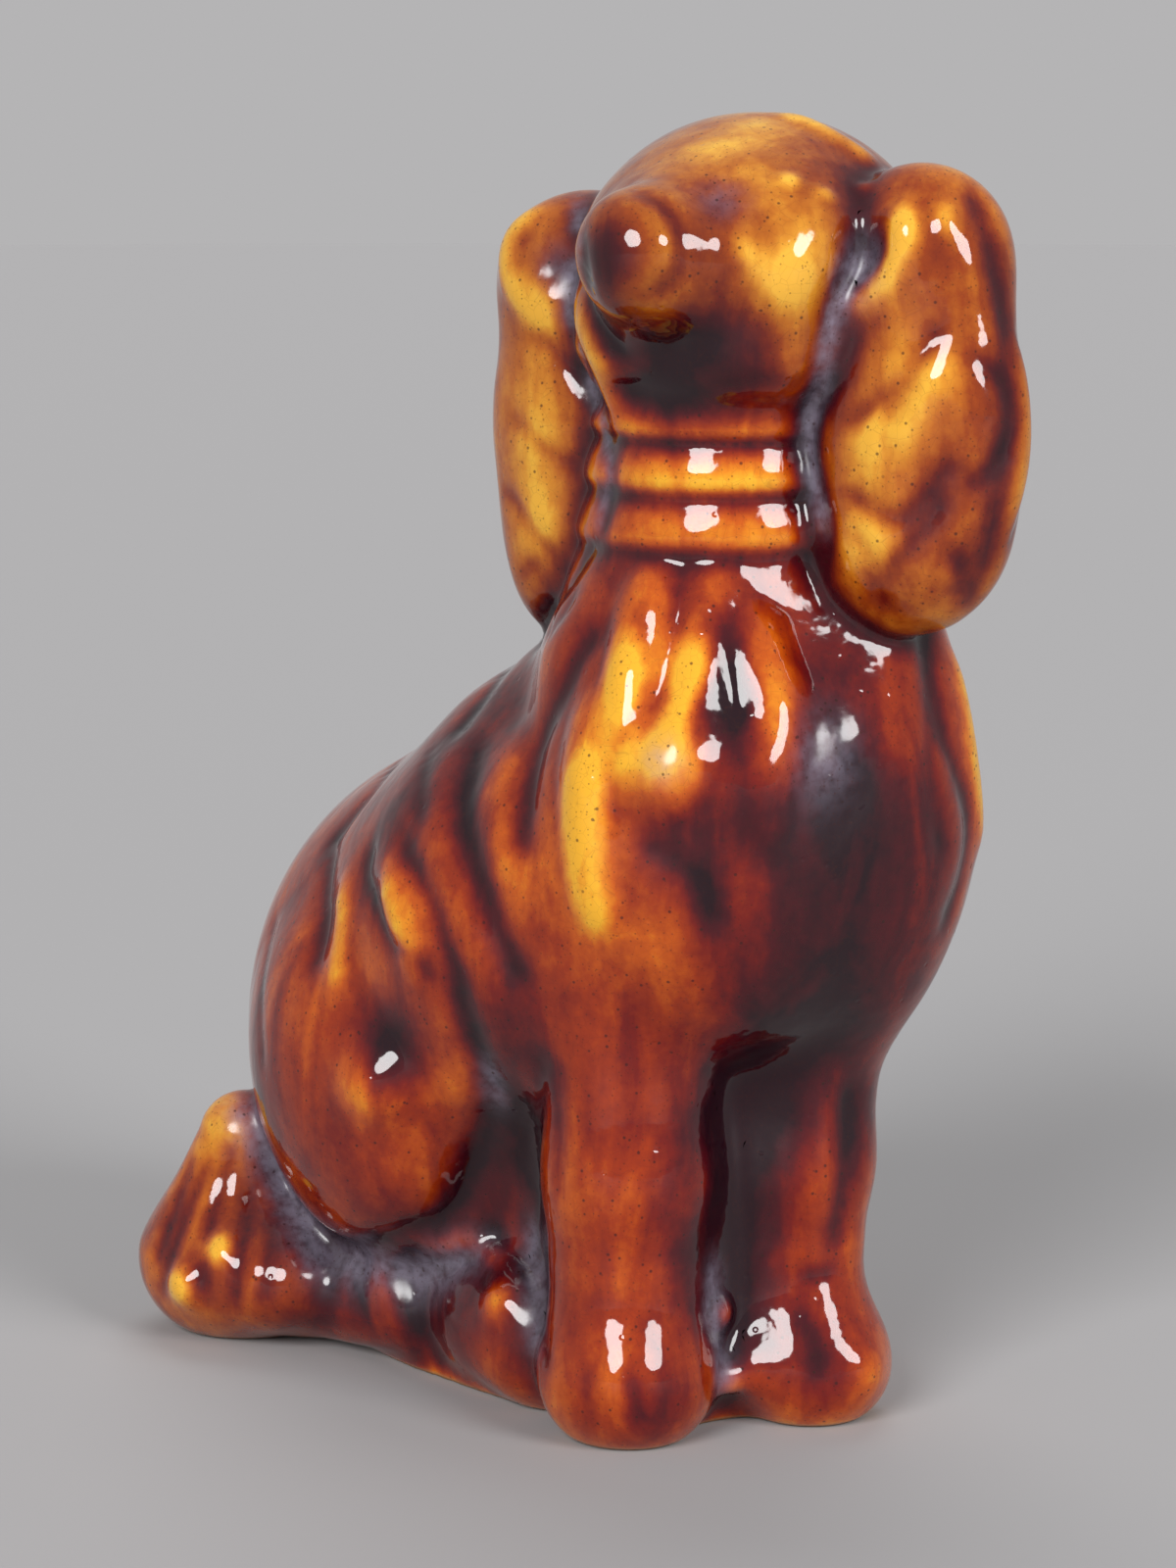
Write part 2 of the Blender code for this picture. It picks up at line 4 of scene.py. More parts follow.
import bmesh
import bpy
import numpy as np
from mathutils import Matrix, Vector


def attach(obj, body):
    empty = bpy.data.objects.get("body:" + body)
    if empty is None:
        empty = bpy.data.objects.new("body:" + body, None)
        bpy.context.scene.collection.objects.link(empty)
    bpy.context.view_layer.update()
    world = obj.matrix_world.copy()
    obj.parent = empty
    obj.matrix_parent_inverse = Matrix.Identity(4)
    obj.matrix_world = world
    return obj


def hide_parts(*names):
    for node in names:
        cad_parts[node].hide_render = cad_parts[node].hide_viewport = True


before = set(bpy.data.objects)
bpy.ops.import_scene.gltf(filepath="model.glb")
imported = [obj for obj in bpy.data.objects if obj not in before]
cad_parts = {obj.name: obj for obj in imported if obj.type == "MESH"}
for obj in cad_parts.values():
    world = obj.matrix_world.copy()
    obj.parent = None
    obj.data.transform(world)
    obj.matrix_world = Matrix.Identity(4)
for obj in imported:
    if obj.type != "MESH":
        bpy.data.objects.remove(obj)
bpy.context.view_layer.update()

# The figure is sculpted in millimetres, with +X the dog's left, -Y its front and +Z up, and is
# then moved as part.py moves it, so that its footprint stands on the origin
MM = 0.001
SHIFT = (8.00, -21.01)
CORNERS = [(i, j, k) for i in (0, 1) for j in (0, 1) for k in (0, 1)]
STEP = 0.62
LOW = (-55.0, -34.0, -3.0)
HIGH = (34.0, 82.0, 151.5)
FAR = 30.0

# Camera: the photograph's angle, measured on a 1200 x 1600 frame
EYE = (-250.0, -433.0, 150.0)
AIM = (-13.47, 7.78, 73.0)
FOCAL_PIXELS = 4590.8
FRAME_HEIGHT = 1600.0
SENSOR_HEIGHT = 24.0
NEAREST_SEEN = 0.01
VIEW_AZIMUTH = -30.0
FAR_EYE = 1500.0
MIDDLE_HEIGHT = 75.0

# Lamps: name, azimuth, elevation and width in degrees, strength
LAMPS = (("key", -53, 27, 27, 2.7), ("fill", 15, 25, 24, 2.0), ("top", 150, 60, 40, 0.9))
UNMIRRORED = ("top",)
FLOOR_RADIUS = 4.0
AMBIENT = 0.4

# Forms of the body, in the order in which they are pressed on. A ball is its place and its width,
# depth and height; a limb is its two ends and their radii. FIRST is for a form with nothing to
# melt into
FIRST = 0.1
CHEST = ((2, -4, 70), (52, 38, 54))
RIBS = ((-6, 20, 56), (57, 60, 54))
RIBS_LEAN = -25
RUMP = ((-5.6, 42, 38), (64, 61, 71))
RUMP_LEAN = -10
SHOULDER = ((1, 2, 86), (44, 33, 33))
NECK = ((0, 2, 90), (0.8, 0, 122), 16, 14)
BELLY = ((-3, 10, 24), (30, 32, 80))
LEFT_SHOULDER = ((12, -6.6, 74), (23, 28, 64))
WITHERS = ((-2, 8, 89), (-8, 26, 73), 10, 11)
THIGH_MIDDLE = -5.5
THIGH = ((20.5, 36, 36), (28, 38, 44))
THIGH_SPLAY = 6
SADDLE = ((-27, 50, 8), (-21, 34, 8), 7.5, 7.0)
TAIL_SWITCH = ((-34, 58, 24.5), (-36, 61, 9), 5.5, 9.5)
TAIL_ROOT = ((-31.5, 58, 9), (25, 34, 18))
WALL = 5.0
SLAB_AT = (-4, 38)
SLAB_HALF = (19.5, 33)
SLAB_RADIUS = 20
SLAB_CROWN = 7.0
SLAB_EDGE = 1.5
SLAB_TOP = 6.0
GROUND_EDGE = 0.6
VENT_AT = (-6, 34)
VENT_RADIUS = 4

# Legs, for the dog's right (-1) and left (1): radii at elbow, shin and wrist, and their heights
LEG_MIDDLE = (-2.5, -2)
LEG_OUT = 10.5
LEG_RADII = {-1: (10.2, 9.2, 8.9), 1: (13.0, 8.2, 7.2)}
ELBOW_HEIGHT, SHIN_HEIGHT, WRIST_HEIGHT, PAW_HEIGHT = 62, 30, 12, 6
ELBOW_BACK = 3
PAW_OUT = 0.8
PAW_SIZE = (19, 20, 16)
FOOT_MIDDLE = -1.5
FOOT = ((15, 20, 9), (17, 25, 18))
TOES = ((14.5, 12, 7.5), (14, 14, 15))

# Forms of the head and the ears: the reach along the gaze, to the dog's left and up, the width,
# depth and height, and how far each melts into the one before
HEAD_YAW = -62.0
HEAD_AT = (1.6, -1.2)
HEAD_FORMS = (
    ((-2, 0, 131), (41, 33, 33.6), FIRST), ((9, 2, 133.5), (31, 20, 19), 6),
    ((5, 0, 123), (34, 28, 19), 6), ((16, 0, 132.3), (18.4, 22, 16.4), 4),
    ((22, 0, 133.5), (12.4, 11, 12), 3))
RIGHT_EAR_FORMS = (
    ((0, -20, 113), (26, 17, 43), FIRST), ((-1, -21.5, 130), (21, 18, 18), 6),
    ((-1, -24, 98), (13, 14, 22), 5))
LEFT_EAR_FORMS = (
    ((0, 20.8, 114), (29, 17, 44), FIRST), ((-1, 21.6, 132.5), (20.5, 17, 20), 5),
    ((-1, 20, 102), (20, 16, 19), 5))

# The neck's rolls lie between creases at these heights, each with its crest this far down
NECK_FOOT = (0.0, 2.0, 90.0)
NECK_TOP = (1.6, -1.2, 131.0)
NECK_BLOCK = ((-24, -26, 94), (26, 24, 124))
NECK_CREASES = (117.3, 112.3, 106.4, 100.1)
NECK_ROLL_CREST = 0.7
NECK_ROLL_PROUD = 0.85
NECK_ROLL_ROUND = 1.3
NECK_REACH = 22.0
NECK_FADE = 4.0

# Locks of the coat: the bearings about the chest's upright axis, in degrees from the front
# towards the dog's left, and the heights that each runs through
CHEST_AT = (2.0, -4.0)
COAT_LOCKS = (
    ((-82, 94), (-76, 86), (-72, 77)),
    ((-58, 95), (-54, 84), (-60, 75)),
    ((-40, 90), (-26, 83), (-33, 72)),
    ((-84, 81), (-81, 73), (-78, 63)))
LOCK_DIAMETERS = (7.5, 5.5)
LOCK_STRETCH = 1.3
LOCK_PROUD = -0.5
LOCK_STEPS = 8
LOCK_MELT = 2.4
OUTSIDE = 60.0
SEEK_STEPS = 60

# Each piece's material slot, and the label of its clay, in the same order
SLOTS = {
    "front_pressing": "amber_glaze", "back_pressing": "brown_glaze", "right_foreleg": "leg_glaze",
    "left_foreleg": "leg_glaze", "right_hind_foot": "dark_glaze", "left_hind_foot": "dark_glaze",
    "tail": "tail_glaze", "right_ear": "ear_glaze", "left_ear": "ear_glaze",
    "base_slab": "bare_clay"}
(FRONT, BACK, RIGHT_LEG, LEFT_LEG, RIGHT_FOOT, LEFT_FOOT, TAIL, RIGHT_EAR, LEFT_EAR,
 SLAB) = range(1, 11)
PARTING = 5.66

# The tool: how finely its lines are cast, how a line fades out and how far a dab reaches. The
# blurs tell the glaze where the skin is hollow
LINE_STEP = 0.8
CURVE_STEPS = 8
BEFORE_PLANE = 75.0
CAST_STEPS = 70
CAST_SHARE = 0.85
ON_SKIN = 0.4
END_SHARE = 0.25
FADE_WIDTHS = 1.3
FADE_POWER = 0.8
TOOL_REACH = 2.8
DAB_REACH = 2.3
RUN = 8
FINE_BLUR = 1.0
BROAD_BLUR = 3.2


def turn(yaw=0, lean=0, roll=0):
    """Roll about Y, then lean about X, then yaw about Z, in degrees."""
    yaw, lean, roll = np.radians([yaw, lean, roll])
    z = np.array([[np.cos(yaw), -np.sin(yaw), 0], [np.sin(yaw), np.cos(yaw), 0], [0, 0, 1]])
    x = np.array([[1, 0, 0], [0, np.cos(lean), -np.sin(lean)], [0, np.sin(lean), np.cos(lean)]])
    y = np.array([[np.cos(roll), 0, np.sin(roll)], [0, 1, 0], [-np.sin(roll), 0, np.cos(roll)]])
    return z @ x @ y


def melt_in(old, new, melt):
    """A soft union of two fields."""
    share = np.clip(0.5 + 0.5 * (old - new) / melt, 0, 1)
    return old + (new - old) * share - melt * share * (1 - share)


class Clay:
    """A block of space that holds the signed distance to the modelled skin."""

    def __init__(self):
        self.low = np.array(LOW)
        self.step = STEP
        self.count = np.ceil((np.array(HIGH) - self.low) / STEP).astype(int) + 1
        self.axes = [
            (self.low[i] + STEP * np.arange(self.count[i])).astype(np.float32) for i in range(3)]
        self.field = np.full(self.count, FAR, np.float32)
        self.label = np.zeros(self.count, np.uint8)

    def window(self, low, high):
        """The slices of the block between two corners, and the places along them."""
        first = np.floor((np.array(low) - self.low) / self.step).astype(int)
        first = np.clip(first, 0, self.count - 1)
        last = np.ceil((np.array(high) - self.low) / self.step).astype(int) + 1
        last = np.clip(last, 1, self.count)
        part = tuple(slice(i, j) for i, j in zip(first, last))
        x = self.axes[0][part[0]][:, None, None]
        y = self.axes[1][part[1]][None, :, None]
        z = self.axes[2][part[2]][None, None, :]
        return part, x, y, z

    def ball(self, at, size, turned=None, melt=2.0, reach=9.0):
        """Press an ellipsoid of this width, depth and height on."""
        half = np.array(size, float) / 2
        spread = (half.max() if turned is not None else half) + melt + reach
        part, x, y, z = self.window(np.array(at) - spread, np.array(at) + spread)
        p = [x - at[0], y - at[1], z - at[2]]
        if turned is not None:
            p = [turned[0, i] * p[0] + turned[1, i] * p[1] + turned[2, i] * p[2] for i in range(3)]
        near = np.sqrt(sum((p[i] / half[i]) ** 2 for i in range(3)))
        slope = np.sqrt(sum((p[i] / half[i] ** 2) ** 2 for i in range(3))) + 1e-6
        self.press(part, (near * (near - 1) / slope).astype(np.float32), melt)

    def limb(self, start, end, start_radius, end_radius, melt=2.0, reach=9.0):
        """Press a tapered limb with round ends on."""
        start = np.array(start, float)
        end = np.array(end, float)
        spread = max(start_radius, end_radius) + melt + reach
        part, x, y, z = self.window(
            np.minimum(start, end) - spread, np.maximum(start, end) + spread)
        span = end - start
        p = [x - start[0], y - start[1], z - start[2]]
        along = np.clip(sum(p[i] * span[i] for i in range(3)) / (span @ span), 0, 1)
        away = np.sqrt(sum((p[i] - along * span[i]) ** 2 for i in range(3)))
        radius = start_radius + (end_radius - start_radius) * along
        self.press(part, (away - radius).astype(np.float32), melt)

    def press(self, part, new, melt):
        self.field[part] = melt_in(self.field[part], new, melt)

    def join(self, other, melt, label=None):
        """Lute another block's clay on; where it is the nearer, the skin is its piece's."""
        if label is not None:
            self.label[other.field < self.field] = label
        self.field = melt_in(self.field, other.field, melt)

    def with_field(self, field):
        """The same block of space with another field."""
        other = copy.copy(self)
        other.field = field
        return other

    def sample(self, points, field=None):
        """The field at any points, read between the block's own."""
        field = self.field if field is None else field
        q = (np.atleast_2d(points) - self.low) / self.step
        q = np.clip(q, 0, self.count - 1.001)
        cell = q.astype(int)
        f = q - cell
        value = np.zeros(len(q))
        for dx, wx in ((0, 1 - f[:, 0]), (1, f[:, 0])):
            for dy, wy in ((0, 1 - f[:, 1]), (1, f[:, 1])):
                for dz, wz in ((0, 1 - f[:, 2]), (1, f[:, 2])):
                    value += wx * wy * wz * field[cell[:, 0] + dx, cell[:, 1] + dy, cell[:, 2] + dz]
        return value

    def slope(self, points):
        """How the field rises along each axis, which points out of the clay."""
        out = np.zeros((len(points), 3))
        for axis in range(3):
            nudge = np.zeros(3)
            nudge[axis] = self.step
            out[:, axis] = self.sample(points + nudge) - self.sample(points - nudge)
        return out / (2 * self.step)


# Strokes of the modelling tool: its width, how deep it goes, points as (across, up) on the
# upright plane through the neck that faces the view, and the azimuth of that view where it isn't
# the photograph's camera. Each is cast along the line of sight onto the clay
LOBES = (
    (3.4, -0.6, ((-11.8, 88.6), (-12, 81.9))),
    (3.4, -0.45, ((-4, 89.7), (-4.6, 80.3), (-7.6, 73.6))),
    (3, -0.6, ((-16, 76.3), (-16.2, 69.6))),
    (2.2, -0.2, ((4.1, 83.9), (5.5, 81.7), (5.2, 77.7), (3.7, 74), (2.7, 71))),
    (3.4, -0.9, ((-14, 142.6), (-11.2, 144))),
    (1.5, -0.7, ((6, 147.5), (9.2, 146.3), (12.5, 144.5), (15.7, 142.3))),
    (2.2, -1, ((-21.5, 136.8), (-24, 133.8), (-24.1, 129.8), (-22, 126.5))),
    (1.8, -0.9, ((19, 137), (18.4, 132.1), (15.7, 128.2), (13.3, 126))),
    (3.5, -0.7, ((23.3, 122.6), (21.4, 114.9))),
    (3.5, -0.7, ((18.4, 113.1), (15.5, 111.1))),
    (4, -0.6, ((16.4, 102.7), (14.4, 97.2))),
    (3.2, -0.6, ((-19.9, 127.8), (-21.2, 122.4))),
    (3.4, -0.7, ((-21.5, 114.8), (-21.6, 109.4))),
    (3.4, -0.7, ((-21.2, 105), (-19.9, 99.5))),
    (4.5, -0.8, ((-33.4, 40.2), (-32.3, 36.2))),
    (2.4, -1, ((-38.2, 62.8), (-37.2, 57.2), (-35, 51.6))),
    (2.4, -0.9, ((-43, 61.7), (-43.3, 54.9), (-43.9, 49.2))),
    (2.4, -1.2, ((-16.6, 127), (-15.2, 123), (-13.2, 118.1), (-11.6, 114.3))),
    (3, -0.5, ((-24.4, 77.4), (-25.5, 69.6), (-24.4, 61.8))),
    (1.5, -0.9, ((-32.9, 19.1), (-28.6, 20), (-23.9, 15.1))),
    (2.6, -0.6, ((-63.1, 13.7), (-60.6, 11.8))),
    (2, -0.9, ((-23.7, 21.7), (-22.2, 18.1))),
    (2.2, -0.7, ((-39.4, 17.2), (-39.2, 12.6))),
    (4.8, -1.7, ((-10, 75.8), (-2.3, 74.4), (4.3, 74.8))),
    (6, -2.2, ((11.7, 78.2), (13.9, 78.7))),
    (4.2, -3.4, ((-39.6, 38.5),)),
    (2.2, -1.8, ((-61.9, 14.5),)),
    (2.2, -1.2, ((-57.9, 18.8),)),
    (2.6, -1.5, ((-25.4, 13.4),)),
    (5, -0.8, ((-11.1, 3.8),)),
    (3, -1.4, ((3.1, 4.9),)),
    (3, -0.8, ((16.5, 5.4),)),
    (1.5, -1.9, ((-0.6, 11.8),)),
    (1.5, -1.9, ((0.5, 4),)),
    (1.3, -0.5, ((1, 133.8), (3.4, 130.6))),
    (4, -1.5, ((5.9, 129.5),)),
    (1.2, -0.5, ((6.7, 140.3),)),
    (1, -0.5, ((10.6, 138.8),)),
    (1, -0.5, ((14.8, 139.4),)),
    (1.4, -0.5, ((19.5, 137), (20.1, 133.3))),
    (1.3, -0.5, ((23.5, 138.1), (24, 134.4))),
    (2.4, -0.7, ((26, 70), (26, 58), (29, 48)), 60),
    (2.4, -0.7, ((36, 70), (38, 58), (41, 50)), 60),
    (2.2, -0.6, ((-3, 88), (-4, 76), (0, 66)), 60),
    (2.6, -0.7, ((7, 84), (11, 72), (9, 62)), 150),
    (2.6, -0.7, ((18, 78), (22, 66), (21, 56)), 150),
    (2.4, -0.6, ((31, 66), (35, 54), (34, 44)), 150),
    (2.6, -0.6, ((18, 44), (21, 34), (19, 26)), 150),
)
HOLLOWS = (
    (3.2, 0.5, ((-1.3, 138.3),)),
    (3, 1, ((15.2, 132),)),
    (2.4, 0.9, ((-19.2, 130.9),)),
    (4, 0.6, ((-9, 120.5), (-2, 120.7))),
)
GROOVES = (
    (1.1, 0.2, ((-11.5, 116.4), (-5.3, 116.6), (3, 118.2), (8, 117.9))),
    (1, 0.15, ((-12.1, 112), (-5.3, 111), (3.1, 111.4), (7.8, 112.3))),
    (1, 0.18, ((-12.3, 105.5), (-5.3, 104.3), (2.7, 105), (8.4, 105))),
    (1.1, 0.15, ((-13.1, 99.9), (-6.9, 98.3), (0.6, 97.7), (6.3, 98.5))),
    (1.6, 0.8, ((-17.1, 95.2), (-19.6, 91.2), (-22.1, 89), (-24.3, 86.5))),
    (1.9, 1.1, ((-14.2, 90.8), (-16.5, 87.9), (-18.5, 83.8), (-20.7, 79), (-22.2, 73.9),
        (-23.6, 64.9))),
    (1.6, 0.4, ((-10, 92.6), (-9.1, 87.9), (-9.4, 82.7), (-11.6, 79), (-12.9, 75.4), (-12.7, 70.2),
        (-11.8, 68.3))),
    (2.4, 0.25, ((-1.8, 93), (-0.6, 89.4), (-0.2, 85.4), (-2.5, 81.6), (-3.9, 78.7), (-5.4, 75.7),
        (-7.4, 71.7))),
    (1.8, 0.15, ((2.6, 76.6), (1.7, 72.5), (2, 69.8), (2.9, 66.9), (3.8, 64.2))),
    (1.7, 0.25, ((12.1, 82.8), (13.6, 76.9), (15.8, 73.3), (14, 69.8), (12, 67.8))),
    (2, 0.5, ((22.5, 90.9), (22.9, 84.3), (23, 79.2), (23.4, 71.9), (24.6, 64.5))),
    (1.8, 0.5, ((-9.5, 66.3), (-5.6, 64.1), (-2.5, 61.3), (-0.6, 56.3))),
    (1.6, 0.7, ((-19.9, 92.9), (-22.3, 89.4), (-25.9, 84.9), (-28.8, 81), (-30.9, 78.3))),
    (1.9, 1.1, ((-27.9, 78.3), (-29.1, 73.8), (-29.8, 69.9), (-28.8, 64.5), (-27.7, 61),
        (-25.3, 54.5), (-23.2, 50.2))),
    (1.7, 0.9, ((-40.1, 66.2), (-40.8, 62.7), (-39.8, 59.1), (-38.4, 55.1), (-36, 52.7),
        (-33.3, 50.7))),
    (1.7, 0.9, ((-36.8, 67.1), (-34.8, 62.4), (-33.1, 58), (-31.7, 53.7), (-30.1, 49.8))),
    (1.9, 1, ((-44.8, 65.9), (-45.5, 60.2), (-45.9, 55.8), (-47.1, 51.5))),
    (1.8, 0.8, ((-35.6, 77.9), (-39.4, 73), (-41.9, 69.9), (-45.1, 65.6))),
    (1.4, 0.4, ((-50.9, 58.2), (-52.5, 51.4), (-52.9, 45.8), (-52.7, 40.2))),
    (2, 1.3, ((-30.7, 50.1), (-30, 47.1), (-28.5, 42.9), (-26.9, 39.1), (-26.2, 36.3))),
    (2.2, 1.3, ((-26.2, 36.3), (-27.2, 33.2), (-28.8, 28.2), (-31.8, 23.1), (-37.9, 20.2),
        (-42.5, 18.9), (-46.9, 20.1))),
    (1.6, 0.5, ((-33.2, 77.4), (-34.3, 72.9), (-34.6, 68.4))),
    (1.2, 0.55, ((-58.8, 29.7), (-60.6, 25.7), (-61.9, 22.6), (-63.7, 17.6), (-64.9, 13.3))),
    (1.1, 0.5, ((-60.8, 29.7), (-62.2, 25.7), (-63.6, 21.7), (-65.3, 17))),
    (1.2, 0.5, ((-56.3, 30.9), (-57.5, 26.9), (-58.9, 22.3), (-59.6, 17.6), (-60.6, 12.4))),
    (1.2, 0.45, ((-54.1, 26.3), (-54.8, 21.7), (-55.6, 17.1), (-56.3, 11.9))),
    (1.2, 0.4, ((-51.9, 21.7), (-52, 17.1), (-52.9, 12.5))),
    (1.7, 0.8, ((-16.5, 139.5), (-16.9, 135.4), (-16.5, 132.1), (-17.7, 126.3), (-16.1, 119.6),
        (-14, 114.3), (-13.2, 108), (-14, 102.6), (-17.4, 96.3), (-21.6, 90.2))),
    (1.3, 0.55, ((-22.4, 123.2), (-19.9, 122.2), (-18.2, 120.5), (-16.5, 117.8))),
    (1.3, 0.55, ((-25.2, 106.7), (-23.6, 104.5), (-22, 101.7), (-19.1, 98.1))),
    (1.4, 0.5, ((-24.3, 114.8), (-22.6, 112.7), (-19.9, 110.3), (-16.6, 108.5))),
    (1.2, 0.45, ((-23.2, 96.2), (-21.6, 97.9), (-20.4, 95.1))),
    (1.8, 0.9, ((12.9, 130), (10.9, 123), (10.3, 118.9), (9.2, 113.9), (9.1, 109.8), (10, 105.5),
        (10.9, 101.8), (10.5, 96.9))),
    (1.6, 0.7, ((23.7, 124.7), (21.3, 121.2), (19.2, 118.1), (16, 115.8), (13, 113.6))),
    (1.6, 0.7, ((25.1, 109.8), (22.6, 106.2), (19.3, 103.1), (16.1, 104), (12.8, 106.2))),
    (1.5, 0.6, ((24.3, 105.6), (21.5, 101.3), (18.5, 98), (17.1, 95.3))),
    (1.8, 0.8, ((26.7, 139.7), (28.5, 134.9), (29.6, 130.6), (31.1, 122.6), (31.5, 114.4),
        (30.5, 106), (28.8, 97.7), (26.8, 92.2))),
    (1.3, 0.4, ((17.7, 109.5), (17.1, 112.8), (18.7, 116))),
    (1.4, 0.45, ((13.4, 101.8), (15, 99.7), (16.2, 95.3), (17.8, 92.5))),
    (1.8, 0.8, ((-14, 117.6), (-11.2, 117.3), (-7.9, 118.7), (-5.2, 122.5))),
    (1.5, 0.8, ((-15.8, 131.1), (-15.6, 126.8), (-13.7, 123), (-11.2, 120.8))),
    (1.6, 0.7, ((-11.2, 139.9), (-8.5, 138.6), (-6, 136.3), (-4.9, 133.3), (-5.8, 129.5),
        (-8.8, 127.2))),
    (1.6, 0.5, ((-20.8, 42), (-21.2, 35.7), (-21.4, 27.7), (-21.2, 18.5), (-21, 10.4),
        (-20.5, 4.7))),
    (1.2, 0.35, ((-18.8, 40.9), (-18.9, 33.5), (-18.8, 25.2))),
    (1.9, 0.9, ((14.3, 38.5), (14.1, 29), (13.1, 22.3), (12.6, 19))),
    (1.3, 0.35, ((8.1, 12.3), (9.4, 10.5), (10.5, 7.5), (11.2, 4.5))),
    (1.3, 0.3, ((-11.1, 4.7), (-9.9, 1.3), (-9.4, -1.6))),
    (1.2, 0.25, ((-15.6, 5.3), (-15.8, 1.8), (-15.2, -1.1))),
    (1.3, 0.5, ((12.8, 17.7), (11.3, 16.5), (8.5, 16.5))),
    (1, 0.45, ((-22.8, 36.9), (-23.6, 34.6), (-23.2, 32.3))),
    (1, 0.45, ((-21.7, 34.6), (-22.5, 31.7), (-22.2, 28.9))),
    (1, 0.45, ((-23.4, 30.6), (-22.7, 28.3), (-21.7, 26.4))),
    (1.6, 0.8, ((-35.3, 19.8), (-36.1, 16.5), (-35.8, 12.6), (-34.7, 8.6))),
    (1.2, 0.5, ((-41.2, 18.9), (-41.9, 14.9), (-41.2, 10.9))),
    (1.7, 0.8, ((-8, 92), (-10, 80), (-6, 68), (-8, 58)), 60),
    (1.6, 0.7, ((2, 90), (1, 78), (5, 66), (3, 54)), 60),
    (1.6, 0.5, ((9, 84), (10, 72), (13, 62)), 60),
    (1.9, 0.9, ((22, 74), (20, 62), (24, 50), (22, 40)), 60),
    (1.8, 0.8, ((31, 74), (31, 62), (35, 52), (34, 42)), 60),
    (1.8, 0.8, ((41, 70), (43, 58), (46, 48)), 60),
    (1.7, 0.7, ((50, 60), (53, 48), (53, 38)), 60),
    (1.6, 0.6, ((30, 34), (34, 26), (32, 18)), 60),
    (1.6, 0.6, ((42, 36), (45, 26), (43, 18)), 60),
    (1.4, 0.6, ((-24, 128), (-20, 118), (-22, 106), (-18, 96)), 60),
    (1.3, 0.5, ((-16, 126), (-15, 114), (-17, 102)), 60),
    (1.9, 0.9, ((2, 88), (6, 76), (4, 64), (8, 54)), 150),
    (1.8, 0.8, ((12, 84), (16, 72), (15, 60), (19, 50)), 150),
    (1.8, 0.8, ((-8, 90), (-6, 78), (-9, 66)), 150),
    (1.8, 0.7, ((24, 74), (28, 62), (27, 50)), 150),
    (1.8, 0.8, ((10, 46), (14, 36), (12, 26)), 150),
    (1.8, 0.8, ((24, 44), (28, 32), (26, 22)), 150),
    (1.7, 0.7, ((38, 60), (41, 48), (40, 36)), 150),
    (1.7, 0.7, ((46, 46), (48, 34), (46, 24)), 150),
    (1.3, 0.5, ((17, 130), (20, 116), (18, 104)), 150),
    (1.3, 0.5, ((24, 128), (25, 114), (23, 102)), 150),
    (1.3, 0.5, ((-20, 130), (-22, 116), (-18, 104)), 150),
    (1.2, 0.5, ((58, 26), (60, 16), (58, 8)), 150),
    (1.2, 0.5, ((64, 26), (67, 16), (66, 8)), 150),
)

